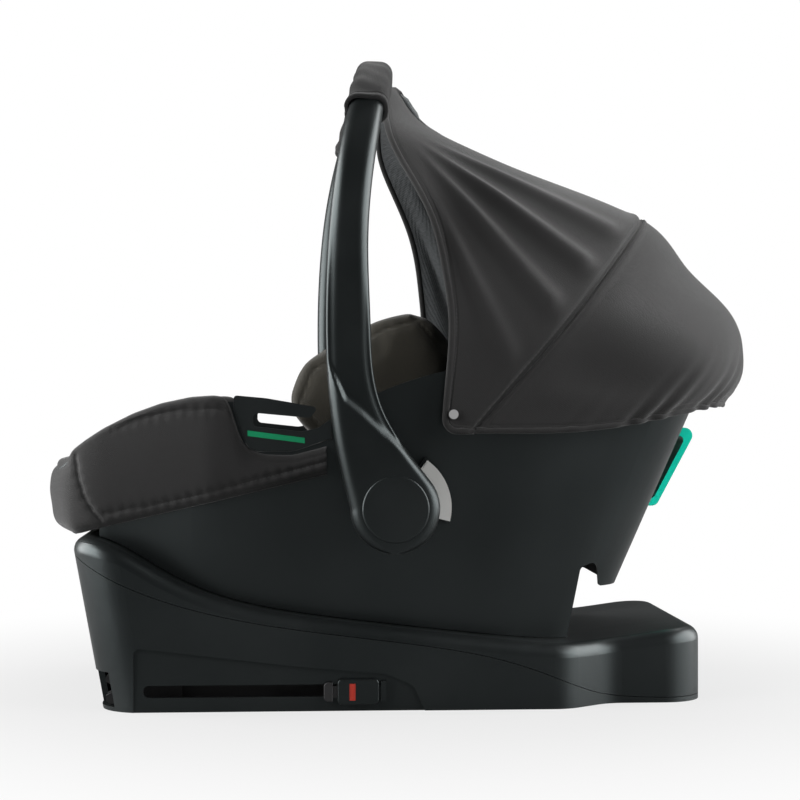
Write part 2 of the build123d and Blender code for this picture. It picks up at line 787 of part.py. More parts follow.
def under_line(points, low=0):
    """Everything in side view below a smooth line."""
    return under_path(points, low, 300)


COVER_RIM = [
    (-400, 218),
    (-352, 226),
    (-336, 238),
    (-320, 250),
    (-291, 266),
    (-262, 281),
    (-236, 290),
    (-208, 297),
    (-181, 299),
    (-150, 297),
]
COVER_LOW = [(-430, 168), (-318, 168), (-296, 173), (-70, 233), (-70, 330), (-430, 330)]
cover_gap = [(-171, 400), (-171, 287), (-157, 243), (-110, 242), (-60, 258), (-60, 400)]


def wrapped_shell(outset):
    """Foot part of the carrier's outer form, swollen by outset."""
    with BuildPart() as form:
        add(hull_block(-outset))
        add(under_path(carrier_line(outset), -50, 300), mode=Mode.SUBTRACT)
        add(side_block([(x, z - outset) for x, z in foot_step], -300, 300), mode=Mode.SUBTRACT)
        add(box_between((-500, -300, 0), (-70, 300, 400)), mode=Mode.INTERSECT)
    return form.part


with BuildPart() as foot_cover:
    add(wrapped_shell(COVER_THICK))
    add(wrapped_shell(FIT), mode=Mode.SUBTRACT)
    add(side_block(COVER_LOW, -300, 300, [0, 12, 12, 0, 0, 0]), mode=Mode.INTERSECT)
    add(under_line(COVER_RIM + [(-60, 292)]), mode=Mode.INTERSECT)
    add(side_block(cover_gap, -300, 300, [0, 12, 16, 40, 0, 0]), mode=Mode.SUBTRACT)
write(foot_cover.part, "foot_cover")

PAD_RIM = [
    (-395, 214),
    (-346, 220),
    (-322, 234),
    (-250, 252),
    (-150, 255),
    (-80, 258),
    (-32, 288),
    (36, 312),
    (140, 324),
    (345, 321),
]
with BuildPart() as liner_form:
    add(seat_space(FIT))
    add(seat_space(LINER_THICK), mode=Mode.SUBTRACT)
    add(box_between((LINER_X, -300, 0), (500, 300, 600)), mode=Mode.INTERSECT)

with BuildPart() as foam_liner:
    add(liner_form.part)
    add(under_line(PAD_RIM), mode=Mode.INTERSECT)
write(foam_liner.part, "foam_liner")

with BuildPart() as liner_room:
    add(seat_space(0))
    add(seat_space(LINER_THICK + FIT), mode=Mode.SUBTRACT)
    add(box_between((LINER_X - FIT, -300, 0), (500, 300, 600)), mode=Mode.INTERSECT)

with BuildPart() as seat_pad:
    add(seat_space(FIT))
    add(seat_space(PAD_THICK), mode=Mode.SUBTRACT)
    add(under_line(PAD_RIM), mode=Mode.INTERSECT)
    add(liner_room.part, mode=Mode.SUBTRACT)
write(seat_pad.part, "seat_pad")


# Headrest on the straight back, drawn in the plane of the back seen from the side

back_run = math.cos(math.radians(BACK_ANGLE))
back_rise = math.sin(math.radians(BACK_ANGLE))


def on_back(along, out):
    """Side-view point at a distance along the back and out from it."""
    return (
        BACK_X + along * back_run - out * back_rise,
        BACK_Z + along * back_rise + out * back_run,
    )


rest_low = PAD_THICK + FIT
plate_outline = [
    on_back(0, rest_low),
    on_back(122, rest_low),
    on_back(122, rest_low + 6),
    on_back(0, rest_low + 6),
]
with BuildPart() as headrest_plate:
    add(side_block(plate_outline, -92, 92))
    for y in (-45, 45):
        slot_side = [on_back(40, 0), on_back(48, 0), on_back(48, 60), on_back(40, 60)]
        add(side_block(slot_side, y - 22, y + 22), mode=Mode.SUBTRACT)
write(headrest_plate.part, "headrest_plate")

rest_front = rest_low + 6 + FIT
wing_outline = [
    on_back(4, rest_front),
    on_back(118, rest_front),
    on_back(112, 130),
    on_back(100, 190),
    on_back(60, 200),
    on_back(-24, 200),
    on_back(-58, 172),
    on_back(-44, 110),
]
cushion_outline = [
    on_back(4, rest_front),
    on_back(118, rest_front),
    on_back(118, rest_front + 30),
    on_back(4, rest_front + 26),
]
with BuildPart() as headrest_pad:
    add(side_block(cushion_outline, -104, 104, 8))
    for near in (-WING_OUT, WING_OUT - WING_THICK):
        add(side_block(wing_outline, near, near + WING_THICK, [4, 8, 30, 30, 60, 25, 30, 30]))
    for y in (-45, 45):
        slot_side = [on_back(38, 0), on_back(50, 0), on_back(50, 90), on_back(38, 90)]
        add(side_block(slot_side, y - 24, y + 24), mode=Mode.SUBTRACT)
write(headrest_pad.part, "headrest_pad")


# Harness

def pan_band(low, high, foot_x, head_x, near, far):
    """Strip that follows the seat between two heights over the pan."""
    with BuildPart() as band:
        add(over_pan(low))
        add(over_pan(high), mode=Mode.SUBTRACT)
        add(box_between((foot_x, near, 0), (head_x, far, 700)), mode=Mode.INTERSECT)
    return band.part


strap_low = PAD_THICK + 0.6
strap_high = strap_low + STRAP_THICK
strap = pan_band(strap_low, strap_high, -112, 2, STRAP_Y - STRAP_HALF, STRAP_Y + STRAP_HALF)
write(other_side(strap), "shoulder_strap_left")
write(strap, "shoulder_strap_right")

pad = pan_band(strap_high + FIT, strap_high + 9, -92, -10, STRAP_Y - 26, STRAP_Y + 26)
write(other_side(pad), "shoulder_pad_left")
write(pad, "shoulder_pad_right")

BUCKLE_X = -140
buckle_z = 177.5
with BuildPart() as buckle:
    add(box_between((BUCKLE_X - 24, -32, buckle_z), (BUCKLE_X + 24, 32, buckle_z + 22)))
    fillet(buckle.edges().filter_by(Axis.Z), 12)
    fillet(buckle.faces().sort_by(Axis.Z)[-1].edges(), 5)
    with BuildSketch(Plane.XY.offset(buckle_z + 30)):
        with Locations((BUCKLE_X - 6, 0)):
            RectangleRounded(24.6, 30.6, 4.3)
    extrude(amount=-19, mode=Mode.SUBTRACT)
write(buckle.part, "buckle")

with BuildPart() as buckle_button:
    with BuildSketch(Plane.XY.offset(buckle_z + 16)):
        with Locations((BUCKLE_X - 6, 0)):
            RectangleRounded(24, 30, 4)
    extrude(amount=5.6)
    fillet(buckle_button.faces().sort_by(Axis.Z)[-1].edges(), 1.2)
write(buckle_button.part, "buckle_button")

write(pan_band(strap_low, strap_low + 6, -276, -232, -24, 24), "harness_adjuster")
write(pan_band(strap_low + 6 + FIT, strap_low + 10, -270, -246, -12, 12), "adjuster_lever")
write(pan_band(strap_low, strap_high, -308, -277, -15, 15), "adjuster_strap")
write(pan_band(strap_low, strap_high, -206, -122, -17, 17), "crotch_strap")


# Handle

def up_handle(points):
    """Side-view points whose heights are shares of the way from the hub to the handle's top."""
    return [(x, HUB_Z + share * (HANDLE_TOP - HUB_Z)) for x, share in points]


LEFT_EDGE = up_handle([(-59, 0), (-74, 0.15), (-82, 0.396), (-78.5, 0.5973), (-66, 0.7875), (-41, 0.9709)])
RIGHT_EDGE = up_handle(
    [(-15, 0.9709), (-31, 0.7875), (-42, 0.5749), (-40, 0.3848), (-26, 0.1946), (14, 0.0626)]
)


def arch_band(grow):
    """Bow in end view, swollen by grow, run through the whole length of the part."""
    outer = HANDLE_OUTER + grow
    inner = HANDLE_OUTER - HANDLE_SHEET - grow
    roof = HANDLE_TOP + grow
    ceiling = HANDLE_TOP - GRIP_HEIGHT - grow
    with BuildPart() as band:
        with BuildSketch(Plane.YZ):
            with BuildLine():
                FilletPolyline(
                    (-outer, 100), (-outer, roof), (outer, roof), (outer, 100), radius=HANDLE_ROUND + grow
                )
                FilletPolyline(
                    (-inner, 100),
                    (-inner, ceiling),
                    (inner, ceiling),
                    (inner, 100),
                    radius=HANDLE_ROUND - HANDLE_SHEET - grow,
                )
                Line((-outer, 100), (-inner, 100))
                Line((outer, 100), (inner, 100))
            make_face()
        extrude(amount=300, both=True)
    return band.part


def lock_star(near, far, play):
    """Toothed disc of the handle lock."""
    with BuildPart() as star:
        with BuildSketch(Plane.XZ.offset(-near)):
            with Locations((HUB_X, HUB_Z)):
                Circle(LOCK_RADIUS + play)
                with PolarLocations(LOCK_RADIUS, LOCK_TEETH):
                    Rectangle(7 + 2 * play, 6 + 2 * play)
        extrude(amount=near - far)
    return star.part


web_y = HUB_FACE + 19.5
with BuildPart() as handle_bow:
    with BuildSketch(Plane.XZ):
        with BuildLine():
            left = Spline(*LEFT_EDGE, tangents=((0, 1), (0.3, 1)))
            ThreePointArc(left @ 1, (-27, HANDLE_TOP + 3), RIGHT_EDGE[0])
            right = Spline(*RIGHT_EDGE, tangents=((-0.3, -1), (1, -0.8)))
            ThreePointArc(right @ 1, (HUB_X + 0.3 * HUB_RADIUS, HUB_Z - 0.954 * HUB_RADIUS), left @ 0)
        make_face()
    extrude(amount=300, both=True)
    add(arch_band(0), mode=Mode.INTERSECT)
    add(both_sides(cross_rod(HUB_X, HUB_Z, HUB_RADIUS, HUB_FACE, HANDLE_OUTER)))
    add(both_sides(lock_star(HUB_FACE - 1, web_y, 0.15)), mode=Mode.SUBTRACT)
    add(both_sides(cross_rod(HUB_X, HUB_Z, BOLT_RADIUS + 0.05, HUB_FACE, HANDLE_OUTER)), mode=Mode.SUBTRACT)
    cap_seat = cross_rod(HUB_X, HUB_Z, HUB_CAP_RADIUS + 0.3, web_y + 3, HANDLE_OUTER + 1)
    add(both_sides(cap_seat), mode=Mode.SUBTRACT)
write(handle_bow.part, "handle_bow")

with BuildPart() as hub_cap:
    add(cross_rod(HUB_X, HUB_Z, HUB_CAP_RADIUS, HANDLE_OUTER - 3.3, HANDLE_OUTER + 1.2))
    fillet(hub_cap.faces().sort_by(Axis.Y)[-1].edges(), 2)
write(other_side(hub_cap.part), "hub_cap_left")
write(hub_cap.part, "hub_cap_right")

with BuildPart() as hub_bolt:
    add(cross_rod(HUB_X, HUB_Z, BOLT_RADIUS, 172, web_y + 3.4))
    add(cross_rod(HUB_X, HUB_Z, 9, web_y + 3.2, web_y + 6.5))
write(both_sides(hub_bolt.part), "hub_bolts")

with BuildPart() as lock_gear:
    add(lock_star(HUB_FACE + 0.6, HUB_FACE + 12.6, 0))
    add(cross_rod(HUB_X, HUB_Z, BOLT_RADIUS + 0.1, HUB_FACE, HUB_FACE + 20), mode=Mode.SUBTRACT)
    add(cross_rod(HUB_X, HUB_Z, 12, HUB_FACE + 4, HUB_FACE + 20), mode=Mode.SUBTRACT)
write(other_side(lock_gear.part), "lock_gear_left")
write(lock_gear.part, "lock_gear_right")

spring_length = web_y - HUB_FACE - 6
with BuildPart() as lock_spring:
    with BuildLine():
        coil = Helix(
            pitch=spring_length / 4,
            height=spring_length,
            radius=9,
            center=(HUB_X, HUB_FACE + 5, HUB_Z),
            direction=(0, 1, 0),
        )
    with BuildSketch(Plane(origin=coil @ 0, z_dir=coil % 0)):
        Circle(0.8)
    sweep()
write(other_side(lock_spring.part), "lock_spring_left")
write(lock_spring.part, "lock_spring_right")

release = button_sector(BOSS_RADIUS + 7, 54.5, 0, seat_y + 0.3, boss_y - 0.3)
write(other_side(release), "handle_button_left")
write(release, "handle_button_right")

sleeve_end = HANDLE_TOP - SLEEVE_RISE
sleeve_bend = HANDLE_TOP - 12.5


def sleeve_side(grow, low):
    """Side view of the space in the sleeve, swollen by grow, down to a low line."""
    return side_block(
        [
            (-58.5 - grow, low),
            (-41.8 - grow, sleeve_bend),
            (-41.8 - grow, HANDLE_TOP + FIT + grow),
            (-14 + grow, HANDLE_TOP + FIT + grow),
            (-14 + grow, sleeve_bend),
            (-21.5 + grow, low),
        ],
        -300,
        300,
        [0, 0, 6 + grow, 6 + grow, 0, 0],
    )


with BuildPart() as sleeve_room:
    add(sleeve_side(0, sleeve_end - 1))
    add(arch_band(FIT), mode=Mode.INTERSECT)

with BuildPart() as grip_sleeve:
    add(sleeve_side(SLEEVE_THICK, sleeve_end))
    add(arch_band(FIT + SLEEVE_THICK), mode=Mode.INTERSECT)
    add(sleeve_room.part, mode=Mode.SUBTRACT)
write(grip_sleeve.part, "grip_sleeve")


# Hood

def hood_block(inset):
    """Dome of the hood over its full height, drawn in by inset."""
    with BuildPart() as dome:
        for height, half, back_x, fullness in HOOD:
            with BuildSketch(Plane.XY.offset(height)):
                with BuildLine() as outline:
                    front_x = -70
                    length = back_x - inset - front_x
                    wide = half - inset
                    steps = [0.0, 0.45, 0.72, 0.9, 1.0]
                    points = [(front_x + length * t, wide * (1 - t**fullness) ** 0.5) for t in steps]
                    Spline(*points, tangents=((1, 0), (0, -1)))
                    mirror(outline.line, about=Plane.XZ)
                    Line((front_x, wide), (front_x, -wide))
                make_face()
        loft(ruled=True)
    return dome.part


bow_run = BOW_TOP[0] - BOW_LOW[0]
bow_rise = BOW_TOP[1] - BOW_LOW[1]
bow_length = math.hypot(bow_run, bow_rise)
bow_dir = (bow_run / bow_length, bow_rise / bow_length)
bow_out = (bow_dir[1], -bow_dir[0])


def bow_point(along, out):
    return (
        BOW_LOW[0] + along * bow_dir[0] + out * bow_out[0],
        BOW_LOW[1] + along * bow_dir[1] + out * bow_out[1],
    )


FRONT_EDGE = [
    (30, 240),
    (31, 270),
    (36, 329),
    (38, 378),
    (34, 416),
    (28, 452),
    (19, HANDLE_TOP - 158),
    (1, HANDLE_TOP - 120),
    (-11, HANDLE_TOP - 95),
    (-16.5, HANDLE_TOP - 78),
    (-19, HANDLE_TOP - 55),
    (-20, HANDLE_TOP - 28),
    (-20.5, HANDLE_TOP),
]

with BuildPart() as hood_skin:
    add(hood_block(0))
    add(hood_block(HOOD_CLOTH), mode=Mode.SUBTRACT)
    # Hem that climbs towards the head end
    below_hem = [(-200, 100), (500, 100), (500, 292), (290, 284), (200, 272), (-200, 268)]
    add(side_block(below_hem, -300, 300), mode=Mode.SUBTRACT)

with BuildPart() as hood_rear:
    add(hood_skin.part)
    add(
        side_block(
            [bow_point(-200, 0.2), bow_point(600, 0.2), bow_point(600, 600), bow_point(-200, 600)],
            -300,
            300,
        ),
        mode=Mode.INTERSECT,
    )
write(hood_rear.part, "hood_rear")

with BuildPart() as front_zone:
    with BuildSketch(Plane.XZ):
        with BuildLine():
            front = Spline(*FRONT_EDGE)
            Polyline(front @ 1, (500, HANDLE_TOP), (500, 240), front @ 0)
        make_face()
    extrude(amount=300, both=True)

with BuildPart() as hood_front:
    add(hood_skin.part)
    add(front_zone.part, mode=Mode.INTERSECT)
    add(
        side_block(
            [bow_point(-200, 0), bow_point(600, 0), bow_point(600, -600), bow_point(-200, -600)],
            -300,
            300,
        ),
        mode=Mode.INTERSECT,
    )
write(hood_front.part, "hood_front")

with BuildPart() as hood_bow:
    add(hood_block(HOOD_CLOTH + 0.3))
    add(hood_block(HOOD_CLOTH + BOW_SHEET), mode=Mode.SUBTRACT)
    add(
        side_block(
            [bow_point(-20, -5), bow_point(600, -5), bow_point(600, 5), bow_point(-20, 5)],
            -300,
            300,
        ),
        mode=Mode.INTERSECT,
    )
write(hood_bow.part, "hood_bow")

with BuildPart() as hood_snap:
    add(cross_rod(SNAP_X, SNAP_Z, SNAP_RADIUS, 150, 192.5))
    add(hood_block(-0.3), mode=Mode.SUBTRACT)
write(both_sides(hood_snap.part), "hood_snaps")
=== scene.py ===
# %% [markdown]
# An infant car seat: a padded carrier with a hood and a carrying handle, standing on its anchor base. The
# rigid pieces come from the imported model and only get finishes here. The soft ones, such as the hood, the
# foot cover, the pads and the webbing, are made anew in the space that their solids hold.

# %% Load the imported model
import collections
import functools
import json
import math

import bmesh
import bpy
import numpy as np
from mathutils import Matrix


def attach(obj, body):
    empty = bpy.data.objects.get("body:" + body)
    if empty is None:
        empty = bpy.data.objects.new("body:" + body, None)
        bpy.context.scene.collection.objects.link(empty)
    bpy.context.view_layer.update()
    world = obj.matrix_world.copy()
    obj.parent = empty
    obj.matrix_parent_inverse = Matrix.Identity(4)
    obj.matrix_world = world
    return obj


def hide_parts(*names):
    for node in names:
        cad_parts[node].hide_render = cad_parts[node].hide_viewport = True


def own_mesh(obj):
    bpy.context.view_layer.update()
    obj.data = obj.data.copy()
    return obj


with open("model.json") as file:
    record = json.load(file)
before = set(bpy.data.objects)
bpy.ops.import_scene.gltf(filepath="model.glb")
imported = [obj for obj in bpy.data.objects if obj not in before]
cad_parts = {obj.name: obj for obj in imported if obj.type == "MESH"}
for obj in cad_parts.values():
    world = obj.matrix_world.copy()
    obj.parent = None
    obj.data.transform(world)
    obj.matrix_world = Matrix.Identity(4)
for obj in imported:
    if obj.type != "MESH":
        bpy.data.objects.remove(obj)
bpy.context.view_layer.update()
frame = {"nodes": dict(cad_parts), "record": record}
scene = bpy.context.scene
scene.view_settings.view_transform = "Standard"

# %% [markdown]
# The camera stands low, two metres off the near side, a little towards the foot end. A long lens at that
# distance gives the flat look of a catalogue picture: the far arm of the handle shows just left of the
# near one.

# %% Camera
CAMERA_DISTANCE = 2.0
CAMERA_HEIGHT = 0.2945
CAMERA_TURN = math.radians(3.5)
LENS = 86.5
SENSOR = 36

lens = bpy.data.cameras.new("camera")
lens.lens = LENS
lens.sensor_width = SENSOR
lens.sensor_fit = "HORIZONTAL"
camera = bpy.data.objects.new("camera", lens)
camera.location = (
    -CAMERA_DISTANCE * math.sin(CAMERA_TURN),
    -CAMERA_DISTANCE * math.cos(CAMERA_TURN),
    CAMERA_HEIGHT,
)
camera.rotation_euler = (math.pi / 2, 0, -CAMERA_TURN)
scene.collection.objects.link(camera)
scene.camera = camera
print("camera", [round(v, 3) for v in camera.location])

# %% [markdown]
# A black product is shaped by what it reflects. One soft light hangs behind it, and a wide one stands on
# each side, so that rounded edges catch a bright line while the faces turned to the camera stay dark. Two
# narrow strips in front add a line on the edges that the hood would shade.

# %% Lamps
# Place, aim, width, height and power
LAMPS = {
    "overhead": ((0.45, 1.1, 1.9), (0.05, 0, 0.3), 1.2, 1.2, 20),
    "foot_side": ((-2.3, -0.2, 0.85), (0, 0, 0.35), 2.8, 2.8, 290),
    "head_side": ((2.3, -0.1, 0.95), (0.1, 0, 0.35), 2.8, 2.8, 230),
    "foot_strip": ((-1.7, -1.2, 0.7), (0, 0, 0.35), 0.3, 1.5, 10),
    "head_strip": ((1.6, -1.3, 0.7), (0, 0, 0.4), 0.4, 1.5, 16),
}


def soft_lamp(name, place, aim, wide, tall, power):
    """Rectangular area lamp at place, turned so that it faces aim."""
    data = bpy.data.lights.new(name, "AREA")
    data.shape = "RECTANGLE"
    data.size = wide
    data.size_y = tall
    data.energy = power
    lamp = bpy.data.objects.new(name, data)
    lamp.location = place
    way = np.subtract(place, aim)
    flat = math.hypot(way[0], way[1])
    lamp.rotation_euler = (math.atan2(flat, way[2]), 0, math.atan2(way[1], way[0]) + math.pi / 2)
    scene.collection.objects.link(lamp)


for name, settings in LAMPS.items():
    soft_lamp(name, *settings)

# %% [markdown]
# The world is a dim light, but a white backdrop to the camera. The floor is pale near the object, where
# it takes the shadow, and turns into the same white farther off, so no horizon shows.

# %% World and floor
WHITE = (1, 1, 1, 1)
SKY_STRENGTH = 0.06
FLOOR_HALF = 6
FLOOR_TONE = (0.2, 0.2, 0.2, 1)
FADE_START = 0.25
FADE_END = 0.85
WHITE_SHARE_NEAR = 0.72


def set_inputs(node, values):
    """Plain values on a node's inputs."""
    for key, value in values.items():
        node.inputs[key].default_value = value


def add_node(tree, kind, inputs=None, **settings):
    """New shader node with its settings and plain input values."""
    made = tree.nodes.new("ShaderNode" + kind)
    for key, value in settings.items():
        setattr(made, key, value)
    set_inputs(made, inputs or {})
    return made


def wire(tree, *pairs):
    """Links each output to its input."""
    for source, target in pairs:
        tree.links.new(source, target)


world = bpy.data.worlds.new("studio")
scene.world = world
world.use_nodes = True
tree = world.node_tree
tree.nodes.clear()
sky = add_node(tree, "Background", {"Color": WHITE, "Strength": SKY_STRENGTH})
backdrop = add_node(tree, "Background", {"Color": WHITE, "Strength": 1.0})
path = add_node(tree, "LightPath")
seen = add_node(tree, "Math", operation="MAXIMUM")
mix = add_node(tree, "MixShader")
wire(
    tree,
    (path.outputs["Is Camera Ray"], seen.inputs[0]),
    (path.outputs["Is Transmission Ray"], seen.inputs[1]),
    (seen.outputs[0], mix.inputs[0]),
    (sky.outputs[0], mix.inputs[1]),
    (backdrop.outputs[0], mix.inputs[2]),
    (mix.outputs[0], add_node(tree, "OutputWorld").inputs[0]),
)

floor_mesh = bpy.data.meshes.new("floor")
floor_corners = [(x * FLOOR_HALF, y * FLOOR_HALF, 0) for x, y in ((-1, -1), (1, -1), (1, 1), (-1, 1))]
floor_mesh.from_pydata(floor_corners, [], [(0, 1, 2, 3)])
floor = bpy.data.objects.new("floor", floor_mesh)
scene.collection.objects.link(floor)
pale = bpy.data.materials.new("pale_floor")
pale.use_nodes = True
tree = pale.node_tree
matt = tree.nodes["Principled BSDF"]
set_inputs(matt, {"Base Color": FLOOR_TONE, "Roughness": 0.95, "Specular IOR Level": 0.1})
white = add_node(tree, "Emission", {"Strength": 1.0})
place = add_node(tree, "TexCoord")
far_off = add_node(tree, "VectorMath", operation="LENGTH")
fade_range = {"From Min": FADE_START, "From Max": FADE_END, "To Min": WHITE_SHARE_NEAR, "To Max": 1.0}
fade = add_node(tree, "MapRange", fade_range, interpolation_type="SMOOTHSTEP")
path = add_node(tree, "LightPath")
shown = add_node(tree, "Math", operation="MULTIPLY")
both = add_node(tree, "MixShader")
wire(
    tree,
    (place.outputs["Object"], far_off.inputs[0]),
    (far_off.outputs["Value"], fade.inputs["Value"]),
    (fade.outputs["Result"], shown.inputs[0]),
    (path.outputs["Is Camera Ray"], shown.inputs[1]),
    (shown.outputs[0], both.inputs[0]),
    (matt.outputs[0], both.inputs[1]),
    (white.outputs[0], both.inputs[2]),
    (both.outputs[0], tree.nodes["Material Output"].inputs["Surface"]),
)
floor_mesh.materials.append(pale)

# %% [markdown]
# Three effects come back in many finishes, so each is a node group. Moulded grain is the fine pebble that
# a textured mould leaves: small cells for the bump and a slow drift in the gloss. Woven cloth crosses two
# fine wave patterns for the threads and adds the uneven tone of a spun yarn. A sewn line draws stitches
# and a groove from two numbers on the points: the distance to the seam and the run along it.

# %% Shared shader groups
STITCH_LENGTH = 0.0042
STITCH_SHARE = 0.68
THREAD_HALF = 0.0007
GROOVE_HALF = 0.0028


def new_group(name, inputs, outputs):
    """Empty shader group with float inputs (name: default) and float outputs."""
    group = bpy.data.node_groups.new(name, "ShaderNodeTree")
    for key, value in inputs.items():
        socket = group.interface.new_socket(key, in_out="INPUT", socket_type="NodeSocketFloat")
        socket.default_value = value
    for key in outputs:
        group.interface.new_socket(key, in_out="OUTPUT", socket_type="NodeSocketFloat")
    return group, group.nodes.new("NodeGroupInput"), group.nodes.new("NodeGroupOutput")


def feed(tree, value, socket):
    """Sets an input from a plain number or links it to an output."""
    if isinstance(value, (int, float)):
        socket.default_value = value
    else:
        tree.links.new(value, socket)


def math_node(tree, operation, *values):
    """Math node fed by sockets or plain numbers; gives back its output."""
    node = add_node(tree, "Math", operation=operation)
    for value, socket in zip(values, node.inputs):
        feed(tree, value, socket)
    return node.outputs[0]


def noise_node(tree, coords, scale, detail):
    """Noise texture of a scale in cells per metre; gives back its value."""
    node = add_node(tree, "TexNoise", {"Detail": detail})
    tree.links.new(coords, node.inputs["Vector"])
    feed(tree, scale, node.inputs["Scale"])
    return node.outputs["Fac"]


grain_group, grain_in, grain_out = new_group("moulded_grain", {"Cells per metre": 900.0}, ["Height", "Drift"])
coords = add_node(grain_group, "TexCoord").outputs["Object"]
cells = add_node(grain_group, "TexVoronoi", feature="SMOOTH_F1")
cell_scale = grain_in.outputs["Cells per metre"]
wire(grain_group, (coords, cells.inputs["Vector"]), (cell_scale, cells.inputs["Scale"]))
fine = noise_node(grain_group, coords, cell_scale, 2.0)
height = math_node(grain_group, "MULTIPLY_ADD", cells.outputs["Distance"], 0.6, fine)
drift = noise_node(grain_group, coords, 9.0, 4.0)
wire(grain_group, (height, grain_out.inputs["Height"]), (drift, grain_out.inputs["Drift"]))

weave_group, weave_in, weave_out = new_group("woven_cloth", {"Threads per metre": 900.0}, ["Height", "Tone"])
weave = functools.partial(math_node, weave_group)
coords = add_node(weave_group, "TexCoord").outputs["Object"]
apart = add_node(weave_group, "SeparateXYZ")
weave_group.links.new(coords, apart.inputs[0])
turn = weave("MULTIPLY", weave_in.outputs["Threads per metre"], 2 * math.pi)
diagonal = weave("ADD", apart.outputs["X"], apart.outputs["Y"])
rising = weave("ADD", apart.outputs["Z"], weave("MULTIPLY", apart.outputs["Y"], 0.5))
warp = weave("SINE", weave("MULTIPLY", diagonal, turn))
weft = weave("SINE", weave("MULTIPLY", rising, turn))
crossing = weave("MULTIPLY", warp, weft)
yarn = noise_node(weave_group, coords, 420.0, 2.0)
cloud = noise_node(weave_group, coords, 26.0, 4.0)
weave_height = weave("MULTIPLY_ADD", crossing, 0.5, yarn)
tone = weave("MULTIPLY_ADD", yarn, 0.6, weave("MULTIPLY", cloud, 0.4))
wire(weave_group, (weave_height, weave_out.inputs["Height"]), (tone, weave_out.inputs["Tone"]))

stitch_group, stitch_in, stitch_out = new_group(
    "sewn_line", {"Stitch length": STITCH_LENGTH}, ["Thread", "Groove"]
)
stitch = functools.partial(math_node, stitch_group)
seam = add_node(stitch_group, "Attribute", attribute_name="seam").outputs["Fac"]
along = add_node(stitch_group, "Attribute", attribute_name="along").outputs["Fac"]
near = stitch("LESS_THAN", stitch("ABSOLUTE", seam), THREAD_HALF)
beat = stitch("DIVIDE", along, stitch_in.outputs["Stitch length"])
dash = stitch("LESS_THAN", stitch("FRACT", beat), STITCH_SHARE)
share = stitch("DIVIDE", stitch("ABSOLUTE", seam), GROOVE_HALF)
wire(
    stitch_group,
    (stitch("MULTIPLY", near, dash), stitch_out.inputs["Thread"]),
    (stitch("MINIMUM", share, 1.0), stitch_out.inputs["Groove"]),
)
print("groups", [g.name for g in bpy.data.node_groups])

# %% [markdown]
# Each finish mixes a darker and a lighter tone by the group's mask, moves the roughness with it and bumps
# the surface with its height. Plastic, cloth and metal differ in which group they use and how strong it
# is.

# %% Finishes
SHEEN_ROUGHNESS = 0.45
COOL_TINT = (0.86, 0.99, 1.0, 1)
CHARCOAL = ((0.0058, 0.0057, 0.0057), (0.0100, 0.0098, 0.0098))
OLIVE = ((0.0105, 0.0092, 0.0060), (0.0170, 0.0152, 0.0102))
CHARCOAL_THREAD = (0.02, 0.02, 0.02)
OLIVE_THREAD = (0.04, 0.037, 0.027)
CLOTH_ROUGH = (0.82, 0.95)
GROOVE_STRENGTH = 0.7
GROOVE_DEPTH = 0.0012


def finish(name, group, scale, mask, dark, light, rough, bump, depth, **more):
    """Principled finish whose colour, roughness and normal follow a group's mask and height."""
    made = bpy.data.materials.new(name)
    made.use_nodes = True
    tree = made.node_tree
    shader = tree.nodes["Principled BSDF"]
    set_inputs(shader, {"Sheen Roughness": SHEEN_ROUGHNESS, **more})
    effect = add_node(tree, "Group", node_tree=group)
    effect.inputs[0].default_value = scale
    blend = add_node(tree, "Mix", {"A": (*dark, 1), "B": (*light, 1)}, data_type="RGBA")
    spread = add_node(tree, "MapRange", {"From Min": 0.35, "From Max": 0.65})
    gloss = add_node(tree, "MapRange", {"To Min": rough[0], "To Max": rough[1]})
    relief = add_node(tree, "Bump", {"Strength": bump, "Distance": depth})
    wire(
        tree,
        (effect.outputs[mask], spread.inputs["Value"]),
        (spread.outputs["Result"], blend.inputs["Factor"]),
        (blend.outputs["Result"], shader.inputs["Base Color"]),
        (spread.outputs["Result"], gloss.inputs["Value"]),
        (gloss.outputs["Result"], shader.inputs["Roughness"]),
        (effect.outputs["Height"], relief.inputs["Height"]),
        (relief.outputs["Normal"], shader.inputs["Normal"]),
    )
    return made


def plastic(name, dark, light, rough=(0.34, 0.42), bump=0.10, cells=900.0):
    """Moulded plastic with a fine grain."""
    more = {"Specular IOR Level": 0.32}
    return finish(name, grain_group, cells, "Drift", dark, light, rough, bump, 0.0004, **more)


def cloth(name, dark, light, sheen=0.12, threads=620.0, bump=0.35, thread_colour=None):
    """Woven finish; with a thread colour it shows stitches and a groove where the seam attribute is small."""
    more = {"Specular IOR Level": 0.25, "Sheen Weight": sheen}
    made = finish(name, weave_group, threads, "Tone", dark, light, CLOTH_ROUGH, bump, 0.0006, **more)
    if thread_colour is None:
        return made
    tree = made.node_tree
    shader = tree.nodes["Principled BSDF"]
    colour = shader.inputs["Base Color"].links[0].from_socket
    normal = shader.inputs["Normal"].links[0].from_socket
    stitches = add_node(tree, "Group", node_tree=stitch_group)
    over = add_node(tree, "Mix", {"B": (*thread_colour, 1)}, data_type="RGBA")
    groove = add_node(tree, "Bump", {"Strength": GROOVE_STRENGTH, "Distance": GROOVE_DEPTH})
    wire(
        tree,
        (stitches.outputs["Thread"], over.inputs["Factor"]),
        (colour, over.inputs["A"]),
        (over.outputs["Result"], shader.inputs["Base Color"]),
        (stitches.outputs["Groove"], groove.inputs["Height"]),
        (normal, groove.inputs["Normal"]),
        (groove.outputs["Normal"], shader.inputs["Normal"]),
    )
    return made


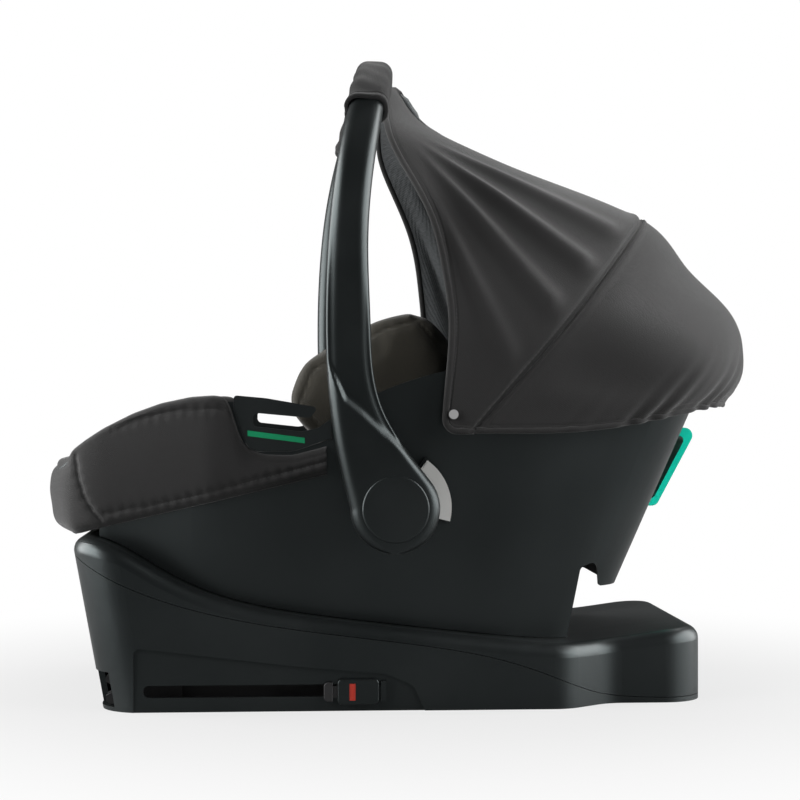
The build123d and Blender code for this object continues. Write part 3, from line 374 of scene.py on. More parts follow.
# Dark tone, light tone, roughness range, bump and grain cells per metre
PLASTICS = {
    "black_plastic": ((0.0034, 0.0040, 0.0041), (0.0050, 0.0056, 0.0057)),
    "dark_trim": ((0.012, 0.012, 0.0125), (0.017, 0.017, 0.0175), (0.38, 0.46), 0.06),
    "grey_button": ((0.36, 0.36, 0.35), (0.43, 0.43, 0.42), (0.45, 0.55), 0.08),
    "green_plastic": ((0.0, 0.16, 0.062), (0.0, 0.20, 0.080), (0.34, 0.42), 0.05),
    "red_plastic": ((0.26, 0.02, 0.012), (0.33, 0.028, 0.016), (0.28, 0.36), 0.03),
    "pale_snap": ((0.22, 0.22, 0.22), (0.28, 0.28, 0.28), (0.22, 0.30), 0.02),
    "white_foam": ((0.55, 0.55, 0.54), (0.66, 0.66, 0.65), (0.85, 0.95), 0.5, 260.0),
    "dark_steel": ((0.0045, 0.0045, 0.005), (0.007, 0.007, 0.0075), (0.5, 0.6), 0.05),
}
FINISHES = {name: plastic(name, *row) for name, row in PLASTICS.items()}
set_inputs(FINISHES["black_plastic"].node_tree.nodes["Principled BSDF"], {"Specular Tint": COOL_TINT})
FINISHES["steel"] = finish(
    "steel", grain_group, 500.0, "Drift", (0.42, 0.42, 0.43), (0.52, 0.52, 0.53), (0.28, 0.40), 0.05,
    0.0002, Metallic=1.0,
)
FINISHES["charcoal_fabric"] = cloth("charcoal_fabric", *CHARCOAL)
FINISHES["olive_fabric"] = cloth("olive_fabric", *OLIVE)
FINISHES["black_webbing"] = cloth(
    "black_webbing", (0.006, 0.006, 0.0065), (0.012, 0.012, 0.0125), 0.1, 420.0, 0.6
)
# The rear belt guide's teal is its own bluer colour, and it is also brightened as painted light where the
# guide sits in shade.
teal_with_painted_light = plastic("teal_with_painted_light", (0.0, 0.48, 0.34), (0.0, 0.58, 0.42), (0.30, 0.38), 0.04)
sewn_charcoal = cloth("sewn_charcoal", *CHARCOAL, thread_colour=CHARCOAL_THREAD)
sewn_sleeve = cloth(
    "sewn_sleeve", (0.0026, 0.0026, 0.0026), (0.0048, 0.0047, 0.0047), 0.04, thread_colour=CHARCOAL_THREAD
)
sewn_olive = cloth("sewn_olive", *OLIVE, thread_colour=OLIVE_THREAD)
# The inside cloth is several times lighter than the outer cloth: painted fill light on the inside of the
# hood, which the lamps hardly reach.
painted_light_lining = cloth("mesh_lining_painted_light", (0.034, 0.037, 0.038), (0.060, 0.064, 0.066), 0.1, 300.0, 0.6)

OWN_FINISH = {"rear_belt_guide": teal_with_painted_light}
for node in ("anchor_head_left", "anchor_head_right"):
    OWN_FINISH[node] = FINISHES["dark_steel"]
SLOT_OF = {row["node"]: row["material_slot"] for row in frame["record"]["subparts"]}
for node, piece in frame["nodes"].items():
    piece.data.materials.clear()
    piece.data.materials.append(OWN_FINISH.get(node, FINISHES[SLOT_OF[node]]))
print("finishes", len(FINISHES), "on", len(SLOT_OF), "nodes")

# %% [markdown]
# Every new surface is a grid of points worked out with numpy. These helpers draw smooth lines through a
# few measured points, turn a grid into a mesh, and put a piece on its body with its finish.

# %% Curves, grids and pieces
def spline(knots, values, at):
    """Natural cubic spline: a cubic on each span, with matching slopes and curvatures at the knots."""
    step = np.diff(knots)
    slope = np.diff(values) / step
    size = len(knots)
    inner = np.arange(1, size - 1)
    system = np.eye(size)
    system[inner, inner - 1] = step[:-1]
    system[inner, inner] = 2 * (step[:-1] + step[1:])
    system[inner, inner + 1] = step[1:]
    right = np.zeros(size)
    right[1:-1] = 6 * np.diff(slope)
    bend = np.linalg.solve(system, right)
    span = np.clip(np.searchsorted(knots, at, side="right") - 1, 0, size - 2)
    gone = at - knots[span]
    wide = step[span]
    first = bend[span]
    last = bend[span + 1]
    found = values[span] + gone * (slope[span] - wide * (2 * first + last) / 6)
    return found + gone**2 * first / 2 + gone**3 * (last - first) / (6 * wide)


def smooth_step(low, high, at):
    """0 below low, 1 above high, and the cubic 3t^2 - 2t^3 between."""
    t = np.clip((np.asarray(at, float) - low) / (high - low), 0, 1)
    return t * t * (3 - 2 * t)


def bell(at, width):
    """Bell curve exp(-(at / width)^2)."""
    return np.exp(-((at / width) ** 2))


def unit(vectors):
    """Each vector over its length."""
    return vectors / np.maximum(np.linalg.norm(vectors, axis=-1, keepdims=True), 1e-12)


def grid_normals(points):
    """Unit cross product of the two grid directions at each point."""
    return unit(np.cross(np.gradient(points, axis=0), np.gradient(points, axis=1)))


def grid_faces(rows, columns, ring):
    """Quads between neighbouring rows and columns; a ring joins the last column to the first."""
    index = np.arange(rows * columns).reshape(rows, columns)
    if ring:
        index = np.hstack([index, index[:, :1]])
    corners = [index[:-1, :-1], index[1:, :-1], index[1:, 1:], index[:-1, 1:]]
    return np.stack(corners, -1).reshape(-1, 4)


def shade_smooth(mesh):
    """Smooth shading on every face."""
    mesh.polygons.foreach_set("use_smooth", np.ones(len(mesh.polygons), bool))


def grid_piece(name, points, material, ring=True, turned=False):
    """Smooth-shaded mesh object at the origin on a grid of points; turned flips its faces."""
    faces = grid_faces(*points.shape[:2], ring)
    if turned:
        faces = faces[:, ::-1]
    mesh = bpy.data.meshes.new(name)
    mesh.from_pydata(points.reshape(-1, 3).tolist(), [], faces.tolist())
    shade_smooth(mesh)
    mesh.materials.append(material)
    piece = bpy.data.objects.new(name, mesh)
    scene.collection.objects.link(piece)
    return piece


def put_on(piece, body, slot, *nodes):
    """The piece stands for its nodes and moves with its body; slot is not used."""
    if nodes:
        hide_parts(*nodes)
    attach(piece, body)
    print(piece.name, "on", body, "faces", len(piece.data.polygons))


def point_values(piece, **values):
    """Named numbers on the points, for the finish to read."""
    for name, found in values.items():
        data = piece.data.attributes.new(name, "FLOAT", "POINT")
        data.data.foreach_set("value", np.asarray(found, np.float32).ravel())


def tidy_normals(piece, merge=1e-5):
    """Merges doubled points and turns all faces outwards."""
    work = bmesh.new()
    work.from_mesh(piece.data)
    bmesh.ops.remove_doubles(work, verts=work.verts, dist=merge)
    bmesh.ops.recalc_face_normals(work, faces=work.faces)
    work.to_mesh(piece.data)
    work.free()


def closed_tube(name, rings, material, **values):
    """Tube through the rings, each end closed at its middle, with any named numbers on its points."""
    ends = [rings[[k]].mean(1, keepdims=True).repeat(rings.shape[1], 1) for k in (0, -1)]
    tube = np.concatenate([ends[0], rings, ends[1]])
    piece = grid_piece(name, tube, material)
    point_values(piece, **values)
    tidy_normals(piece)
    return piece


# %% [markdown]
# The carrying handle is one moulded bow: a round hub on each side, an arm that narrows upwards and leans,
# and a grip across the top. A rounded rectangle carried along that path gives the soft edges of the real
# moulding. Above the hub the outer face steps in along a slanting crease, so the arm looks twisted.

# %% Handle
HUB = (-0.017, 0.193)
HUB_RADIUS = 0.042
HANDLE_OUTER = 0.217
HUB_FACE = 0.1875
ARM_SHEET = 0.0225
GRIP_Z = 0.622
CORNER_Y = 0.027
CORNER_Z = 0.44825
BEND_HALF = 0.01125
GRIP_HALF = 0.013
EDGE_ROUND = 0.0112
CREASE_DEPTH = 0.0042
CREASE_RISE = 0.012
CREASE_FADE = (0.04, 0.20)
HUB_BLEND = (0.226, 0.258)
FRONT_EDGE = np.array([
    (-0.059, 0.193), (-0.074, 0.26), (-0.082, 0.37), (-0.0785, 0.46), (-0.066, 0.545), (-0.0435, GRIP_Z),
])
BACK_EDGE = np.array([
    (0.0145, 0.221), (-0.026, 0.28), (-0.040, 0.365), (-0.042, 0.45), (-0.031, 0.545), (-0.0145, GRIP_Z),
])
CREASE = np.array([
    (-0.085, 0.336), (-0.077, 0.318), (-0.064, 0.290), (-0.048, 0.277), (-0.027, 0.257), (0.02, 0.226),
])


def edge_x(drawn, z, side):
    """x of an arm's edge at height z: the hub's circle below the drawn line, a spline through it above."""
    circle = HUB[0] + side * np.sqrt(np.maximum(HUB_RADIUS**2 - (z - HUB[1]) ** 2, 0))
    line = spline(drawn[:, 1], drawn[:, 0], np.clip(z, drawn[0, 1], drawn[-1, 1]))
    return np.where(z < drawn[0, 1], circle, line)


def handle_path(first):
    """Half of the bow from step first to the middle of the grip: centre y and z, lean and half thickness."""
    low = HUB[1] - HUB_RADIUS * np.cos(np.linspace(0, math.pi / 2, 26))
    arm = np.linspace(HUB[1], CORNER_Z, 120)[1:]
    turn = np.linspace(0, math.pi / 2, 91)[1:]
    grip = np.linspace(CORNER_Y, 0, 12)[1:]
    z = np.concatenate([low, arm, CORNER_Z + (GRIP_Z - CORNER_Z) * np.sin(turn), np.full(len(grip), GRIP_Z)])
    inner = HUB_FACE + (HANDLE_OUTER - ARM_SHEET - HUB_FACE) * smooth_step(*HUB_BLEND, z)
    arm_y = (HANDLE_OUTER + inner) / 2
    straight = len(low) + len(arm)
    y = np.concatenate([arm_y[:straight], CORNER_Y + (arm_y[-1] - CORNER_Y) * np.cos(turn), grip])
    lean = np.concatenate([np.zeros(straight), turn, np.full(len(grip), math.pi / 2)])
    bend_half = BEND_HALF + (GRIP_HALF - BEND_HALF) * np.sin(turn)
    half = np.concatenate([(HANDLE_OUTER - inner[:straight]) / 2, bend_half, np.full(len(grip), GRIP_HALF)])
    return y[first:], z[first:], lean[first:], half[first:]


def ring_of(flat_points, arc_points):
    """Rounded-rectangle ring: at each step, which corner or edge share it sits on and its outward way."""
    share = []
    way = []
    for quarter in range(4):
        start = quarter * math.pi / 2
        turn = start + np.linspace(0, math.pi / 2, arc_points)
        corner = np.sign([math.cos(start + math.pi / 4), math.sin(start + math.pi / 4)])
        share.append(np.tile(corner, (arc_points, 1)))
        way.append(np.stack([np.cos(turn), np.sin(turn)], 1))
        nxt = np.sign([math.cos(start + 3 * math.pi / 4), math.sin(start + 3 * math.pi / 4)])
        t = np.linspace(0, 1, flat_points + 2)[1:-1, None]
        share.append(corner * (1 - t) + nxt * t)
        way.append(np.tile([math.cos(start + math.pi / 2), math.sin(start + math.pi / 2)], (flat_points, 1)))
    return np.concatenate(share), np.concatenate(way)


def handle_sweep(first, grow, rounding, creased=True):
    """Bow of rounded-rectangle sections, as wide as its two edges are apart, swollen by grow."""
    y, z, lean, half = handle_path(first)
    front = edge_x(FRONT_EDGE, z, -1)
    back = edge_x(BACK_EDGE, z, 1)
    wide = (back - front) / 2 + grow
    thick = half + grow
    share, way = ring_of(14, 9)
    round_by = np.minimum(rounding, np.minimum(wide, thick)) * 0.98
    across = (wide - round_by)[:, None] * share[:, 0] + round_by[:, None] * way[:, 0]
    out = (thick - round_by)[:, None] * share[:, 1] + round_by[:, None] * way[:, 1]
    x = ((front + back) / 2)[:, None] + across
    above = z[:, None] - np.interp(x, CREASE[:, 0], CREASE[:, 1])
    step = CREASE_DEPTH * smooth_step(0, CREASE_RISE, above) * (1 - smooth_step(*CREASE_FADE, above))
    step = step * smooth_step(0.4, 0.9, way[:, 1])
    out = out - step * creased
    leaned_y = y[:, None] + out * np.cos(lean)[:, None]
    leaned_z = z[:, None] + out * np.sin(lean)[:, None]
    points = np.stack([x, leaned_y, leaned_z], -1)
    other = points[::-1][1:] * np.array([1, -1, 1])
    return np.concatenate([points, other])


handle = grid_piece("carrying_handle", handle_sweep(0, 0.0, EDGE_ROUND), FINISHES["black_plastic"])
tidy_normals(handle)
put_on(handle, "handle", "black_plastic", "handle_bow")

# %% [markdown]
# Inside each hub a coil spring pushes the lock disc home. It is a round wire on a helix, drawn at rest; the
# real spring shortens towards its fixed outer end when the disc is drawn out.

# %% Lock springs
COIL_RADIUS = 0.009
WIRE_RADIUS = 0.0008
COIL_TURNS = 4
COIL_FREE_Y = 0.1925
COIL_FIXED_Y = 0.2055


def coil_spring(name, side):
    """Round wire along a helix about the hub's axis."""
    turn = np.linspace(0, 2 * math.pi * COIL_TURNS, 200)
    out = np.stack([np.cos(turn), np.zeros_like(turn), np.sin(turn)], 1)
    line = COIL_RADIUS * out + np.array([HUB[0], 0, HUB[1]])
    line[:, 1] = side * np.linspace(COIL_FREE_Y, COIL_FIXED_Y, len(turn))
    around = np.linspace(0, 2 * math.pi, 10, endpoint=False)[None, :, None]
    ring = WIRE_RADIUS * (np.cos(around) * out[:, None] + np.sin(around) * np.array([0, 1, 0]))
    return closed_tube(name, line[:, None] + ring, FINISHES["steel"])


for place, side in (("left", -1), ("right", 1)):
    spring = coil_spring("coil_spring_" + place, side)
    put_on(spring, "handle", "steel", "lock_spring_" + place)
    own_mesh(spring)

# %% [markdown]
# A cloth sleeve wraps the grip and the top of both arms. It is the same sweep, a few millimetres larger,
# with small wrinkles where the cloth is pulled round the bend, and with each end turned in to the handle.

# %% Grip sleeve
SLEEVE_START = 190
SLEEVE_CLEAR = 0.0034
SLEEVE_ROUND = 0.012
SLEEVE_GIRTH = 0.13
SLEEVE_SEAM = 0.006
TUCK = 0.0042
sleeve_points = handle_sweep(SLEEVE_START, SLEEVE_CLEAR, SLEEVE_ROUND, creased=False)
rows, columns = sleeve_points.shape[:2]
middle = sleeve_points.mean(1, keepdims=True)
row = np.linspace(-1, 1, rows)[:, None, None]
ring = np.linspace(0, 2 * math.pi, columns, endpoint=False)[None, :, None]
ripple = 0.0006 * np.sin(30 * row + 2 * np.sin(ring)) * np.abs(row) ** 2
ripple = ripple + 0.0004 * np.sin(41 * row + 3 * ring)
outward = unit(sleeve_points - middle)
hem = 0.0011 * bell(1 - np.abs(row), 0.035)
sleeve_points = sleeve_points + outward * (ripple + hem)
tuck = sleeve_points[[0, -1]] - outward[[0, -1]] * TUCK
sleeve_points = np.concatenate([tuck[:1], sleeve_points, tuck[1:]])
sleeve = grid_piece("grip_wrap", sleeve_points, sewn_sleeve)
tidy_normals(sleeve, 0)
span = np.linalg.norm(np.diff(middle[:, 0], axis=0), axis=1)
along_run = np.r_[0, np.cumsum(span)]
edge = np.minimum(along_run, along_run[-1] - along_run)
edge = np.r_[-0.004, edge, -0.004]
point_values(
    sleeve,
    seam=np.repeat((edge - SLEEVE_SEAM)[:, None], columns, 1),
    along=np.repeat(np.linspace(0, SLEEVE_GIRTH, columns)[None, :], rows + 2, 0),
)
put_on(sleeve, "handle", "charcoal_fabric", "grip_sleeve")

# %% [markdown]
# The hood is a dome of stretch cloth over one bent bow. Its front edge hangs from the handle, its seam
# follows the bow, and its rear hem is gathered by elastic. The dome is worked out as half-widths over the
# side view: at a height z the half-width falls from the front to the back end as the root of one minus a
# power of the share gone. The front panel is a family of lines from the hem over the ridge, swept from
# the front edge to the bow.

# %% Hood form
# Height, half-width, x of the back end and fullness
HOOD_LEVELS = np.array([
    (0.240, 0.1885, 0.306, 5.6),
    (0.256, 0.189, 0.318, 5.6),
    (0.300, 0.190, 0.345, 5.4),
    (0.346, 0.187, 0.358, 5.0),
    (0.390, 0.177, 0.341, 3.4),
    (0.430, 0.164, 0.300, 2.6),
    (0.487, 0.140, 0.245, 2.0),
    (0.5295, 0.116, 0.137, 1.9),
    (0.551, 0.106, 0.083, 1.9),
    (0.576, 0.096, 0.030, 1.9),
    (0.592, 0.088, 0.012, 1.9),
    (0.606, 0.082, 0.003, 1.9),
    (0.620, 0.076, -0.005, 1.9),
])
HOOD_TOP = 0.620
ROOF_Z = 0.535
HOOD_START_X = -0.070
HOOD_EDGE = np.array([
    (0.240, 0.030), (0.270, 0.031), (0.329, 0.036), (0.378, 0.038), (0.416, 0.034), (0.452, 0.028),
    (0.482, 0.019), (0.520, 0.001), (0.545, -0.011), (0.562, -0.0165), (0.585, -0.019), (0.622, -0.021),
])
BOW_LOW = (0.060, 0.266)
BOW_TOP = (0.255, 0.487)
HOOD_MIDDLE = (0.08, 0, 0.3)
HEM = np.array([(-0.2, 0.264), (0.06, 0.265), (0.2, 0.270), (0.29, 0.283), (0.36, 0.289)])
HEM_FRONT = (0.031, 0.0590)
HEM_ROUND = 0.012
HOOD_SHEET = 0.0022
HEM_SEAM = 0.0075
BOW_SEAM = 0.004


def level(column, z):
    """One column of the hood's table at height z, by cubic spline."""
    return spline(HOOD_LEVELS[:, 0], HOOD_LEVELS[:, column], np.clip(z, HOOD_LEVELS[0, 0], HOOD_TOP))


def dome_half(x, z):
    """Half-width at a point of the side view: half * sqrt(1 - share ** fullness), closed by a round roof."""
    share = np.clip((x - HOOD_START_X) / (level(2, z) - HOOD_START_X), 0, 1)
    roof = np.clip((z - ROOF_Z) / (HOOD_TOP - ROOF_Z), 0, 1)
    return level(1, z) * np.sqrt(np.maximum(1 - share ** level(3, z), 0) * (1 - roof**2.4))


def front_x(z):
    """x of the front edge at height z."""
    return spline(HOOD_EDGE[:, 0], HOOD_EDGE[:, 1], np.clip(z, HOOD_EDGE[0, 0], HOOD_EDGE[-1, 0]))


def bow_x(z):
    """x of the bow's plane at height z."""
    return BOW_LOW[0] + (z - BOW_LOW[1]) * (BOW_TOP[0] - BOW_LOW[0]) / (BOW_TOP[1] - BOW_LOW[1])


def beside_bow(gap):
    """Height of the cloth near the bow's seam: a narrow dip on it and a low roll beside it."""
    return 0.0012 * bell(gap - 0.009, 0.005) - 0.0022 * bell(gap, BOW_SEAM)


def even_lines(points, count):
    """Each row of points again, with count points evenly spaced along its length."""
    length = np.linalg.norm(np.diff(points, axis=1), axis=2)
    gone = np.concatenate([np.zeros((len(points), 1)), np.cumsum(length, axis=1)], axis=1)
    share = np.linspace(0, 1, count)
    rows = [
        np.stack([np.interp(share * far[-1], far, line[:, k]) for k in range(3)], 1)
        for far, line in zip(gone, points)
    ]
    return np.array(rows)


def facing_out(points):
    """Grid normals, each turned away from the middle of the hood."""
    normals = grid_normals(points)
    side = ((points - np.array(HOOD_MIDDLE)) * normals).sum(-1, keepdims=True)
    return normals * np.where(side < 0, -1, 1)


def lengths_along(points, axis):
    """Distance gone along the grid lines in one direction."""
    step = np.linalg.norm(np.diff(points, axis=axis), axis=2)
    start = np.zeros_like(np.take(step, [0], axis=axis))
    return np.concatenate([start, np.cumsum(step, axis=axis)], axis=axis)


# %% [markdown]
# The cloth isn't smooth: long pulled folds fan out from where the front edge is held up at the handle,
# and the rear panel has a dip below the bow and short gathers along its elastic hem. They are added along
# the surface's normal. A pulled fold is a bell curve over the angle from the place where the cloth is
# held. The hem is rounded at the front corner.

# %% Hood front panel
FRONT_LINES = 72
LINE_POINTS = 121
SCAN_LOW = 0.262
BOW_FAR_X = 0.30
HELD = (-0.013, 0.574)
PULL_ANGLES = np.array([1.10, 0.90, 0.67, 0.42])
PULL_WIDTHS = np.array([0.042, 0.050, 0.055, 0.045])
PULL_HEIGHTS = np.array([0.0055, 0.0085, 0.0080, 0.0050])
PULL_SINK = 0.0015
CALM_EDGE = 0.03
CALM_HEM = 0.05
part_way = np.linspace(0, 1, FRONT_LINES)[:, None]
scan = np.linspace(SCAN_LOW, HOOD_TOP, 900)[None, :]
line_x = (1 - part_way) * front_x(scan) + part_way * np.minimum(bow_x(scan), BOW_FAR_X)
inside = (level(2, scan) - line_x) > 0
top_z = np.array([scan[0][np.nonzero(flags)[0][-1]] for flags in inside])[:, None]
rise = np.sin(np.linspace(0, math.pi / 2, 500))[None, :]
hem_x = (1 - part_way) * HEM_FRONT[0] + part_way * HEM_FRONT[1]
in_round = np.clip(HEM_ROUND - (hem_x - HEM_FRONT[0]), 0, None)
start_z = np.interp(hem_x, HEM[:, 0], HEM[:, 1]) + HEM_ROUND - np.sqrt(HEM_ROUND**2 - in_round**2)
side_z = start_z + (top_z - start_z) * rise
side_x = (1 - part_way) * front_x(side_z) + part_way * bow_x(side_z)
side_y = dome_half(side_x, side_z)
side_y[:, -1] = 0
half_front = even_lines(np.stack([side_x, -side_y, side_z], -1), LINE_POINTS)
front_panel = np.concatenate([half_front, half_front[:, ::-1][:, 1:] * np.array([1, -1, 1])], axis=1)

outward = facing_out(front_panel)
gone_x = front_panel[..., 0] - HELD[0]
gone_z = HELD[1] - front_panel[..., 2]
fan = np.arctan2(gone_x, gone_z)
reach = np.hypot(gone_x, gone_z)
from_front = lengths_along(front_panel, 0)
to_bow = from_front[-1:] - from_front
from_hem = lengths_along(front_panel, 1)
from_hem = np.minimum(from_hem, from_hem[:, -1:] - from_hem)
calm = smooth_step(0, CALM_EDGE, from_front) * smooth_step(0, CALM_EDGE, to_bow)
calm = calm * smooth_step(0, CALM_HEM, from_hem)
pulled = (PULL_HEIGHTS * bell(fan[..., None] - PULL_ANGLES, PULL_WIDTHS)).sum(-1) - PULL_SINK
folds = pulled * smooth_step(0.03, 0.14, reach) * (1 - 0.5 * smooth_step(0.24, 0.40, reach)) * calm
front_panel = front_panel + outward * (folds + beside_bow(to_bow))[..., None]


def cloth_panel(name, points, seam, along, turned):
    """Sewn cloth on a grid, faces outwards; its thickness goes inwards, where the inside cloth shows,
    lightened as painted fill light.
    """
    piece = grid_piece(name, points, sewn_charcoal, ring=False, turned=turned)
    point_values(piece, seam=seam, along=along)
    piece.data.materials.append(painted_light_lining)
    wall = piece.modifiers.new("sheet", "SOLIDIFY")
    wall.thickness = HOOD_SHEET
    wall.offset = -1
    wall.material_offset = 1
    return piece


front_gap = np.abs(from_front - HEM_SEAM)
hem_gap = np.abs(from_hem - HEM_SEAM)
hood_seam = np.minimum(np.minimum(front_gap, hem_gap), np.abs(to_bow - BOW_SEAM))
hem_first = hem_gap < front_gap
hood_along = np.where(hem_first, from_front, lengths_along(front_panel, 1))
hood_front = cloth_panel("hood_front_panel", front_panel, hood_seam, hood_along, turned=False)
put_on(hood_front, "carrier", "charcoal_fabric", "hood_front")
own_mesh(hood_front)

# %% Hood rear panel
REAR_ROWS = 90
REAR_COLUMNS = 161
REAR_HEM = 0.2655
REAR_HEM_RISE = 0.0225
GATHER_PITCH = 0.031
SECOND_PITCH = 0.0233
GATHER_REACH = 0.042
across = np.linspace(-1, 1, REAR_COLUMNS)[None, :]
inward = 1 - np.abs(across)
up = np.linspace(0, 1, REAR_ROWS)[:, None] ** 0.85
low_edge = REAR_HEM + REAR_HEM_RISE * smooth_step(0.15, 0.75, inward)
heights = np.linspace(0.44, 0.52, 4000)
bow_top_z = heights[np.argmin(np.abs(bow_x(heights) - level(2, heights)))] - 0.0004
rear_z = low_edge + (bow_top_z - low_edge) * up
bow_here = np.minimum(bow_x(rear_z), level(2, rear_z))
rear_x = bow_here + (level(2, rear_z) - bow_here) * np.sin(inward * math.pi / 2)
rear_y = np.sign(across) * dome_half(rear_x, rear_z)
rear_y[:, REAR_COLUMNS // 2] = 0
rear_panel = np.stack([rear_x, rear_y, rear_z], -1)
outward = facing_out(rear_panel)
around = lengths_along(rear_panel, 1)
from_bow = np.minimum(around, around[:, -1:] - around)
above_hem = lengths_along(rear_panel, 0)
gather = 0.0014 * np.sin(2 * math.pi * around / GATHER_PITCH)
gather = gather + 0.0011 * np.sin(2 * math.pi * around / SECOND_PITCH + 1.1)
gather = gather * bell(above_hem, GATHER_REACH) * smooth_step(0.04, 0.16, from_bow)
tuck_in = -0.006 * bell(above_hem, 0.016) * smooth_step(0.10, 0.2, from_bow)
slant = rear_panel[..., 0] * 0.6 + rear_panel[..., 2]
folds = 0.0026 * np.sin(52 * slant + 9 * np.abs(rear_panel[..., 1]))
folds = folds * smooth_step(0.01, 0.05, from_bow) * smooth_step(0.02, 0.06, above_hem) * (1 - up**3)
rear_panel = rear_panel + outward * (gather + tuck_in + folds + beside_bow(from_bow))[..., None]
hem_gap = np.abs(above_hem - HEM_SEAM)
bow_gap = np.abs(from_bow - BOW_SEAM)
rear_seam = np.minimum(hem_gap, bow_gap)
rear_along = np.where(hem_gap < bow_gap, around, above_hem)
hood_rear = cloth_panel("hood_rear_panel", rear_panel, rear_seam, rear_along, turned=True)
put_on(hood_rear, "carrier", "charcoal_fabric", "hood_rear")

# %% [markdown]
# A rolled binding finishes the front edge and the hems: an oval section carried along the edge of each
# panel. The hoop inside is the same kind of sweep, set in from the seam that it holds up.

# %% Hood bindings and hoop
def edge_roll(name, path, count, half_out, half_wide, shift, material):
    """Oval tube along an evenly spaced path, with its flat side turned away from the hood's middle."""
    line = even_lines(path[None], count)[0]
    ahead = unit(np.gradient(line, axis=0))
    out = (line - np.array(HOOD_MIDDLE)) * np.array([0.25, 1, 1])
    out = unit(out - (out * ahead).sum(1, keepdims=True) * ahead)
    side = np.cross(ahead, out)
    turn = np.linspace(0, 2 * math.pi, 12, endpoint=False)[None, :, None]
    ring = half_out * np.cos(turn) * out[:, None] + half_wide * np.sin(turn) * side[:, None]
    return closed_tube(name, line[:, None] + shift * out[:, None] + ring, material)


front_path = np.concatenate([front_panel[:0:-1, 0], front_panel[0], front_panel[1:, -1]])
charcoal = FINISHES["charcoal_fabric"]
front_binding = edge_roll("hood_front_binding", front_path, 330, 0.0024, 0.0032, -0.0010, charcoal)
put_on(front_binding, "carrier", "charcoal_fabric")
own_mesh(front_binding)
rear_binding = edge_roll("hood_rear_binding", rear_panel[0], 260, 0.0024, 0.0030, -0.0010, charcoal)
put_on(rear_binding, "carrier", "charcoal_fabric")
hoop = edge_roll("hood_hoop", front_panel[-1], 200, 0.0022, 0.0045, -0.0055, FINISHES["black_plastic"])
put_on(hoop, "carrier", "black_plastic", "hood_bow")

# %% [markdown]
# Padded pieces start from their own solids: the copy is merged, remeshed into even cells, smoothed, drawn
# in a little and then blown up as cloth with no gravity, which rounds every edge as stuffing does. How
# far a point may move is capped, so a pad keeps clear of its neighbours. All pads share one run of the
# simulation.

# %% Padded pieces
PAD_FRAMES = 20
SOFTEN_STEPS = 14
PAD_PRESSURE = 4
PAD_STIFFNESS = 12
Pad = collections.namedtuple("Pad", "node body slot material voxel draw_in cap fill")
PADS = {
    "seat_liner": Pad("seat_pad", "carrier", "charcoal_fabric", sewn_charcoal, 0.0060, 0.0030, 0.0060, 0.55),
    "head_cushion": Pad("headrest_pad", "headrest", "olive_fabric", sewn_olive, 0.0044, -0.0030, 0.0090, 0.7),
}
for place in ("left", "right"):
    PADS["shoulder_cushion_" + place] = Pad(
        "shoulder_pad_" + place, "carrier", "olive_fabric", sewn_olive, 0.0026, 0.0008, 0.0030, 0.5
    )


def coordinates(mesh):
    """The mesh's points as rows."""
    found = np.empty(len(mesh.vertices) * 3, np.float32)
    mesh.vertices.foreach_get("co", found)
    return found.reshape(-1, 3)


def point_normals(mesh):
    """The mesh's normals at its points as rows."""
    found = np.empty(len(mesh.vertices) * 3, np.float32)
    mesh.vertex_normals.foreach_get("vector", found)
    return found.reshape(-1, 3)


def baked(piece):
    """The piece's mesh with its modifiers applied."""
    graph = bpy.context.evaluated_depsgraph_get()
    return bpy.data.meshes.new_from_object(piece.evaluated_get(graph))


def even_copy(name, node, voxel, draw_in):
    """Merged, evenly remeshed and smoothed copy of a solid, drawn in along its normals."""
    mesh = frame["nodes"][node].data.copy()
    work = bmesh.new()
    work.from_mesh(mesh)
    bmesh.ops.remove_doubles(work, verts=work.verts, dist=1e-5)
    work.to_mesh(mesh)
    work.free()
    piece = bpy.data.objects.new(name, mesh)
    scene.collection.objects.link(piece)
    cells = piece.modifiers.new("cells", "REMESH")
    cells.mode = "VOXEL"
    cells.voxel_size = voxel
    piece.data = baked(piece)
    piece.modifiers.clear()
    soften = piece.modifiers.new("soften", "SMOOTH")
    soften.factor = 0.5
    soften.iterations = SOFTEN_STEPS
    piece.data = baked(piece)
    piece.modifiers.clear()
    moved = coordinates(piece.data) - point_normals(piece.data) * draw_in
    piece.data.vertices.foreach_set("co", moved.ravel())
    return piece


def stuffed(piece):
    """Cloth with inner pressure and no gravity."""
    cushion = piece.modifiers.new("stuffing", "CLOTH")
    cushion.settings.quality = 5
    cushion.settings.use_pressure = True
    cushion.settings.uniform_pressure_force = PAD_PRESSURE
    cushion.settings.effector_weights.gravity = 0
    cushion.settings.tension_stiffness = PAD_STIFFNESS
    cushion.settings.compression_stiffness = PAD_STIFFNESS


pads = {name: even_copy(name, pad.node, pad.voxel, pad.draw_in) for name, pad in PADS.items()}
for piece in pads.values():
    stuffed(piece)
for step in range(1, PAD_FRAMES + 1):
    scene.frame_set(step)
for name, piece in pads.items():
    before = coordinates(piece.data)
    way = coordinates(baked(piece)) - before
    far = np.linalg.norm(way, axis=1, keepdims=True)
    cap = PADS[name].cap
    kept = before + way * np.minimum(1, cap / np.maximum(far, 1e-9))
    piece.modifiers.clear()
    piece.data.vertices.foreach_set("co", kept.ravel())
    print(name, "swelled by up to", round(float(np.minimum(far, cap).max()), 4))
scene.frame_set(1)

# %% [markdown]
# Seams are kept as numbers on the points: the distance to the nearest sewn line, and the run along it.
# The finish draws the thread from them, and the points near a line are drawn in, so that the cloth puffs
# between its seams.

